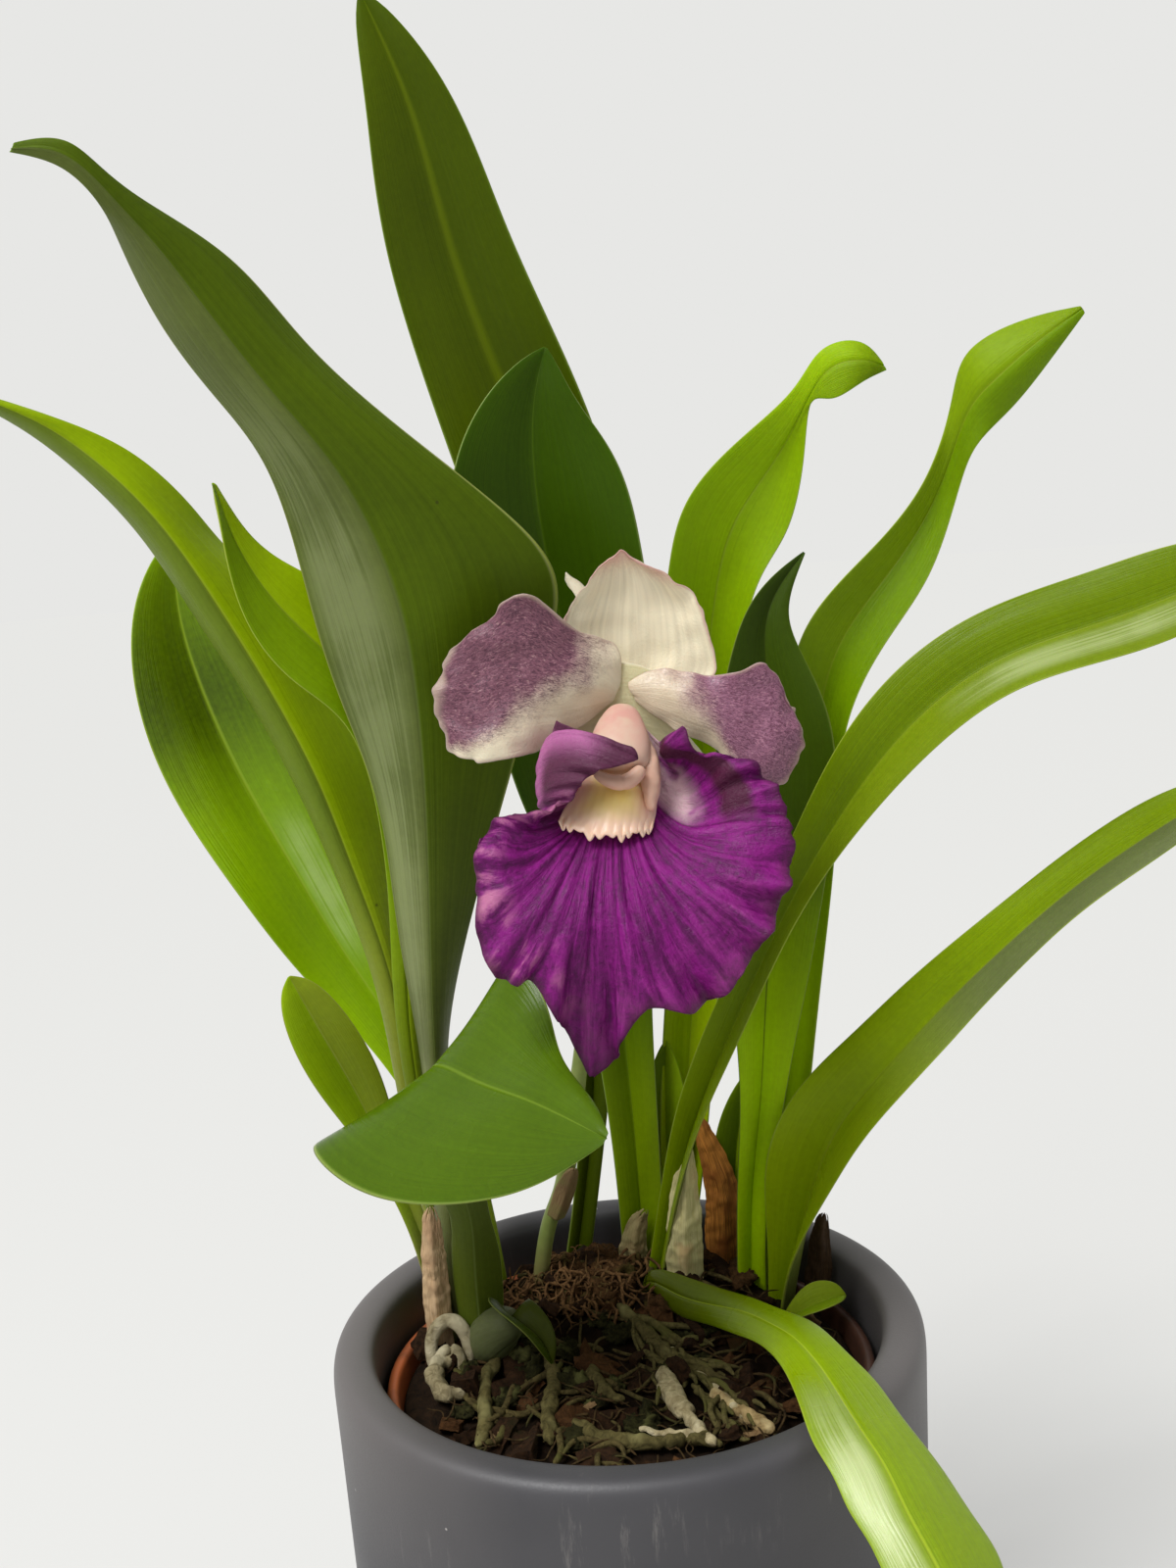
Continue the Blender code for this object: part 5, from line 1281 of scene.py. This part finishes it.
BROAD_RIBS, FINE_RIBS = 27, 41
BROAD_WAVES, SMALL_WAVES = 10, 23
lip_net = along(np.array(LIP, float), np.linspace(0, 1, LIP_ROWS))
around = np.linspace(0, 1, LIP_ROWS)
outward = np.linspace(0, 1, LIP_COLS)
ragged = np.array([noise.fractal(Vector((a * 34, 3.3, 0)), 0.8, 2.0, 4) for a in around])
reach = 1 - 0.075 * ragged * (np.sin(np.pi * around) > 0.5)
lip_grid = np.stack([along(rib, outward * far) for rib, far in zip(lip_net, reach)])
lap = 2 * np.pi * around
ribs = (0.34 * np.sin(BROAD_RIBS * lap) + 0.2 * np.sin(FINE_RIBS * lap + 1))[:, None]
ribs = ribs * np.sin(np.pi * outward**0.7)[None, :] * np.sin(np.pi * np.clip(around, 0.08, 0.94))[:, None]
ruffle = (0.6 * np.sin(BROAD_WAVES * lap) + np.sin(SMALL_WAVES * lap + 2)
          + 3.4 * np.array([noise.noise(Vector((a * 60, 7.1, 0))) for a in around]))[:, None]
ruffle = 1.35 * ruffle * (outward**3.5)[None, :] * np.sin(np.pi * around)[:, None]
creases = np.array([[noise.noise(Vector(p / 3.2)) for p in row] for row in lip_grid])
lip_grid = lip_grid + normals(lip_grid) * (ribs + ruffle + 0.35 * creases * outward[None, :])[..., None]
lip_sheet = smoothed(walled("lip_sheet", lip_grid, 0.5, foot_end=0.3, margin=0.5), 0)


def lip_finish():
    """Purple velvet in ribs: pale streaks at the left, a dark rim, a left lobe partly painted light and
    shade, a painted shade ring and a pale throat.
    """
    lip = Finish("lip_velvet", {
        "Specular IOR Level": 0.2, "Subsurface Weight": 0.15, "Subsurface Radius": (1.0, 0.3, 0.9),
        "Subsurface Scale": 0.001})
    spread = lip.add("TexCoord").outputs
    out, along_rim, _ = lip.add("SeparateXYZ", {0: spread["UV"]}).outputs
    lines = lip.add("CombineXYZ", {0: lip.times(out, 2.5), 1: lip.times(along_rim, 74)}).outputs[0]
    rib = lip.cloud(lines, 1, 5, Roughness=0.65, Distortion=0.4)
    pile = lip.cloud(spread["Object"], 700, 4, Roughness=0.7)
    haze = lip.cloud(spread["Object"], 110, 3)
    velvet = lip.blend(lip.ease(lip.plus(lip.times(rib, 0.7), lip.times(pile, 0.3)), 0.36, 0.62),
                       paint(80, 6, 72), paint(132, 22, 120))
    pale = lip.times(lip.ease(lip.plus(rib, haze), 0.94, 1.2), lip.ease(out, 0.5, 0.85))
    pale = lip.times(pale, lip.ease(along_rim, 0.5, 0.4, 0.12, 1))
    streaked = lip.blend(pale, velvet, paint(176, 104, 142))
    rimmed = lip.blend(lip.ease(out, 0.9, 1, 0, 0.7), streaked, paint(66, 22, 50))
    # Left lobe: paler purple, partly its own colour and partly painted light, with painted shade along its
    # rolled margin and its fold.
    left_foot = lip.times(lip.ease(along_rim, 0.09, 0.14), lip.ease(out, 0.46, 0.6))
    left_roll_shade = lip.maths("MAXIMUM", lip.ease(out, 0.7, 0.92), left_foot)
    left_lobe = lip.blend(left_roll_shade, paint(172, 98, 148), paint(84, 38, 64))
    lobed = lip.blend(lip.ease(along_rim, 0.24, 0.17), rimmed, left_lobe)
    # Painted shade: a dark ring in the crease where the right lobe cups.
    crease_shade_mask = lip.times(lip.ease(out, 0.52, 0.6), lip.ease(out, 0.82, 0.74))
    crease_shaded = lip.blend(lip.times(lip.ease(along_rim, 0.76, 0.8), crease_shade_mask), lobed, paint(72, 20, 50))
    throat = lip.times(lip.ease(along_rim, 0.77, 0.82), lip.ease(out, 0.5, 0.28))
    patchy = lip.times(throat, lip.ease(haze, 0.38, 0.56))
    return lip.dress(lip.blend(patchy, crease_shaded, paint(206, 172, 180)), lip.ease(pile, 0.3, 0.7, 0.34, 0.6),
                     lip.plus(rib, lip.times(pile, 0.5)), 0.8, 0.9)


hand_over(lip_sheet, [lip_finish()], "lip_purple", "lip")

# Callus: a waxy cream fan in the throat of the lip, yellowest in the middle, pink at its sides, with a
# fringe of short teeth along its front edge.
TEETH = 11
CALLUS_ROWS, CALLUS_COLS = 41, 8 * TEETH + 1
callus_grid = sheet([
    [(1, -16.5, 247.5), (5.5, -17.5, 247.5), (9.5, -17.5, 247), (13, -16.5, 246.5)],
    [(-1.5, -21.5, 243), (3, -25, 243.5), (8.5, -25, 243), (13, -20.5, 242)],
    [(-5, -26, 239.5), (1, -29.5, 238.5), (7, -29.5, 238), (12.5, -24.5, 237.5)],
    [(-6.5, -29.5, 237.5), (-0.5, -31.5, 235), (6.5, -31.5, 234.5), (11.5, -29, 235)]],
    CALLUS_ROWS, CALLUS_COLS)
comb = np.linspace(0, 1, CALLUS_COLS)
forward = np.linspace(0, 1, CALLUS_ROWS)[:, None]
tooth = np.abs(np.sin(np.pi * TEETH * comb + 0.6 * np.sin(9 * comb)))**1.6
front = np.clip((forward - 0.78) / 0.22, 0, 1)
callus_grid[..., 2] += front * (0.3 - 1.5 * tooth * (0.7 + 0.5 * np.sin(23 * comb)))
callus_grid[..., 1] -= front * 0.4
ridges = 0.05 * np.sin(2 * np.pi * TEETH * comb) * forward
callus_grid = callus_grid + normals(callus_grid) * ridges[..., None]
callus = smoothed(walled("callus_fan", callus_grid, 1.0, foot=1.2, foot_end=0.4, margin=0.6))


def wax(name, rough, glow):
    """Waxy flesh that lets a little light in, with the colour of the light inside it."""
    return Finish(name, {"Roughness": rough, "Specular IOR Level": 0.45, "Subsurface Weight": 0.3,
                         "Subsurface Radius": glow, "Subsurface Scale": 0.002})


callus_wax = wax("callus_wax", 0.36, (1.0, 0.6, 0.3))
across, outwards, _ = callus_wax.add("SeparateXYZ", {0: callus_wax.add("TexCoord").outputs["UV"]}).outputs
away = callus_wax.maths("MAXIMUM", callus_wax.ease(callus_wax.gap(across, 0.45), 0.12, 0.42),
                        callus_wax.ease(outwards, 0.45, 0.85))
callus_tone = callus_wax.blend(away, paint(255, 222, 134), paint(246, 206, 180))
hand_over(callus, [callus_wax.dress(callus_tone)], "callus_cream", "callus")

# Column: a short waxy hood over the throat, white with a pink flush on top, and its rounded anther cap. Both
# are bars laid along a short curve, and the hood is the broader one.
column_wax = wax("column_wax", 0.38, (1.0, 0.6, 0.5))
place = column_wax.place()
flush = column_wax.ease(column_wax.add("SeparateXYZ", {0: place}).outputs["Z"], 0.246, 0.259)
flush = column_wax.times(flush, column_wax.ramp(column_wax.cloud(place, 220, 3), 0.35, 0.6))
column_tone = column_wax.blend(flush, paint(208, 176, 156), paint(206, 150, 140))
column = rolled("column_hood", [(7.8, -14.8, 257), (6.8, -19.5, 253), (6.4, -24, 249.5), (6.4, -27.5, 246.3)],
                (1.8, 3.5, 4.2, 3.6), sides=28, flat=1.4)
hand_over(smoothed(column), [column_wax.dress(column_tone)], "column_pink", "column")
cap_wax = wax("cap_wax", 0.34, (1.0, 0.6, 0.5))
cap_mottle = cap_wax.cloud(cap_wax.place(), 260, 3)
cap_finish = cap_wax.dress(cap_wax.blend(cap_mottle, paint(196, 148, 128), paint(222, 186, 164)))
anther_cap = rolled("anther_cap_curl", [
    (1, -27.6, 246.4), (3.8, -29, 244.7), (7.4, -29.4, 244.5), (10.4, -28, 246.8)], (0.8, 1.4, 1.6, 1.2),
    sides=20)
hand_over(smoothed(anther_cap), [cap_finish], "callus_cream", "anther_cap")

# Wing of the column: a wet cream ridge that runs down its right side into the throat; and the cream collar
# in which the two petals and the sepals meet behind the column.
wing = rolled("column_wing", [(10.6, -19.5, 252), (11.6, -23.5, 247.5), (11.8, -26, 243), (11.4, -28, 238)],
              (1.0, 2.0, 2.0, 1.0), sides=16)
hand_over(smoothed(roughened(wing, 0.3, 1.8, 5)), [cap_finish], "column_pink")
collar_grid = sheet([
    [(-5, -14, 262), (-6, -13.4, 256), (-6.5, -12.6, 249)],
    [(1, -13.2, 265), (1, -12.8, 257.5), (0.5, -12.2, 249)],
    [(8.5, -13, 265.5), (8.5, -12.6, 258), (8.5, -12.2, 249)],
    [(14, -13.2, 263.5), (14.5, -12.8, 256.5), (15, -12.4, 248)],
    [(19.5, -14.2, 259), (20, -13.8, 253), (20.5, -13.2, 246)]], rows=41, cols=25)
collar_skin = petal_finish("collar_skin", ground=(206, 200, 158), stain=CREAM, deep=CREAM, margin=CREAM,
                           border_start=2.0)
hand_over(smoothed(walled("flower_collar", collar_grid, 0.6)), [collar_skin], "sepal_cream")
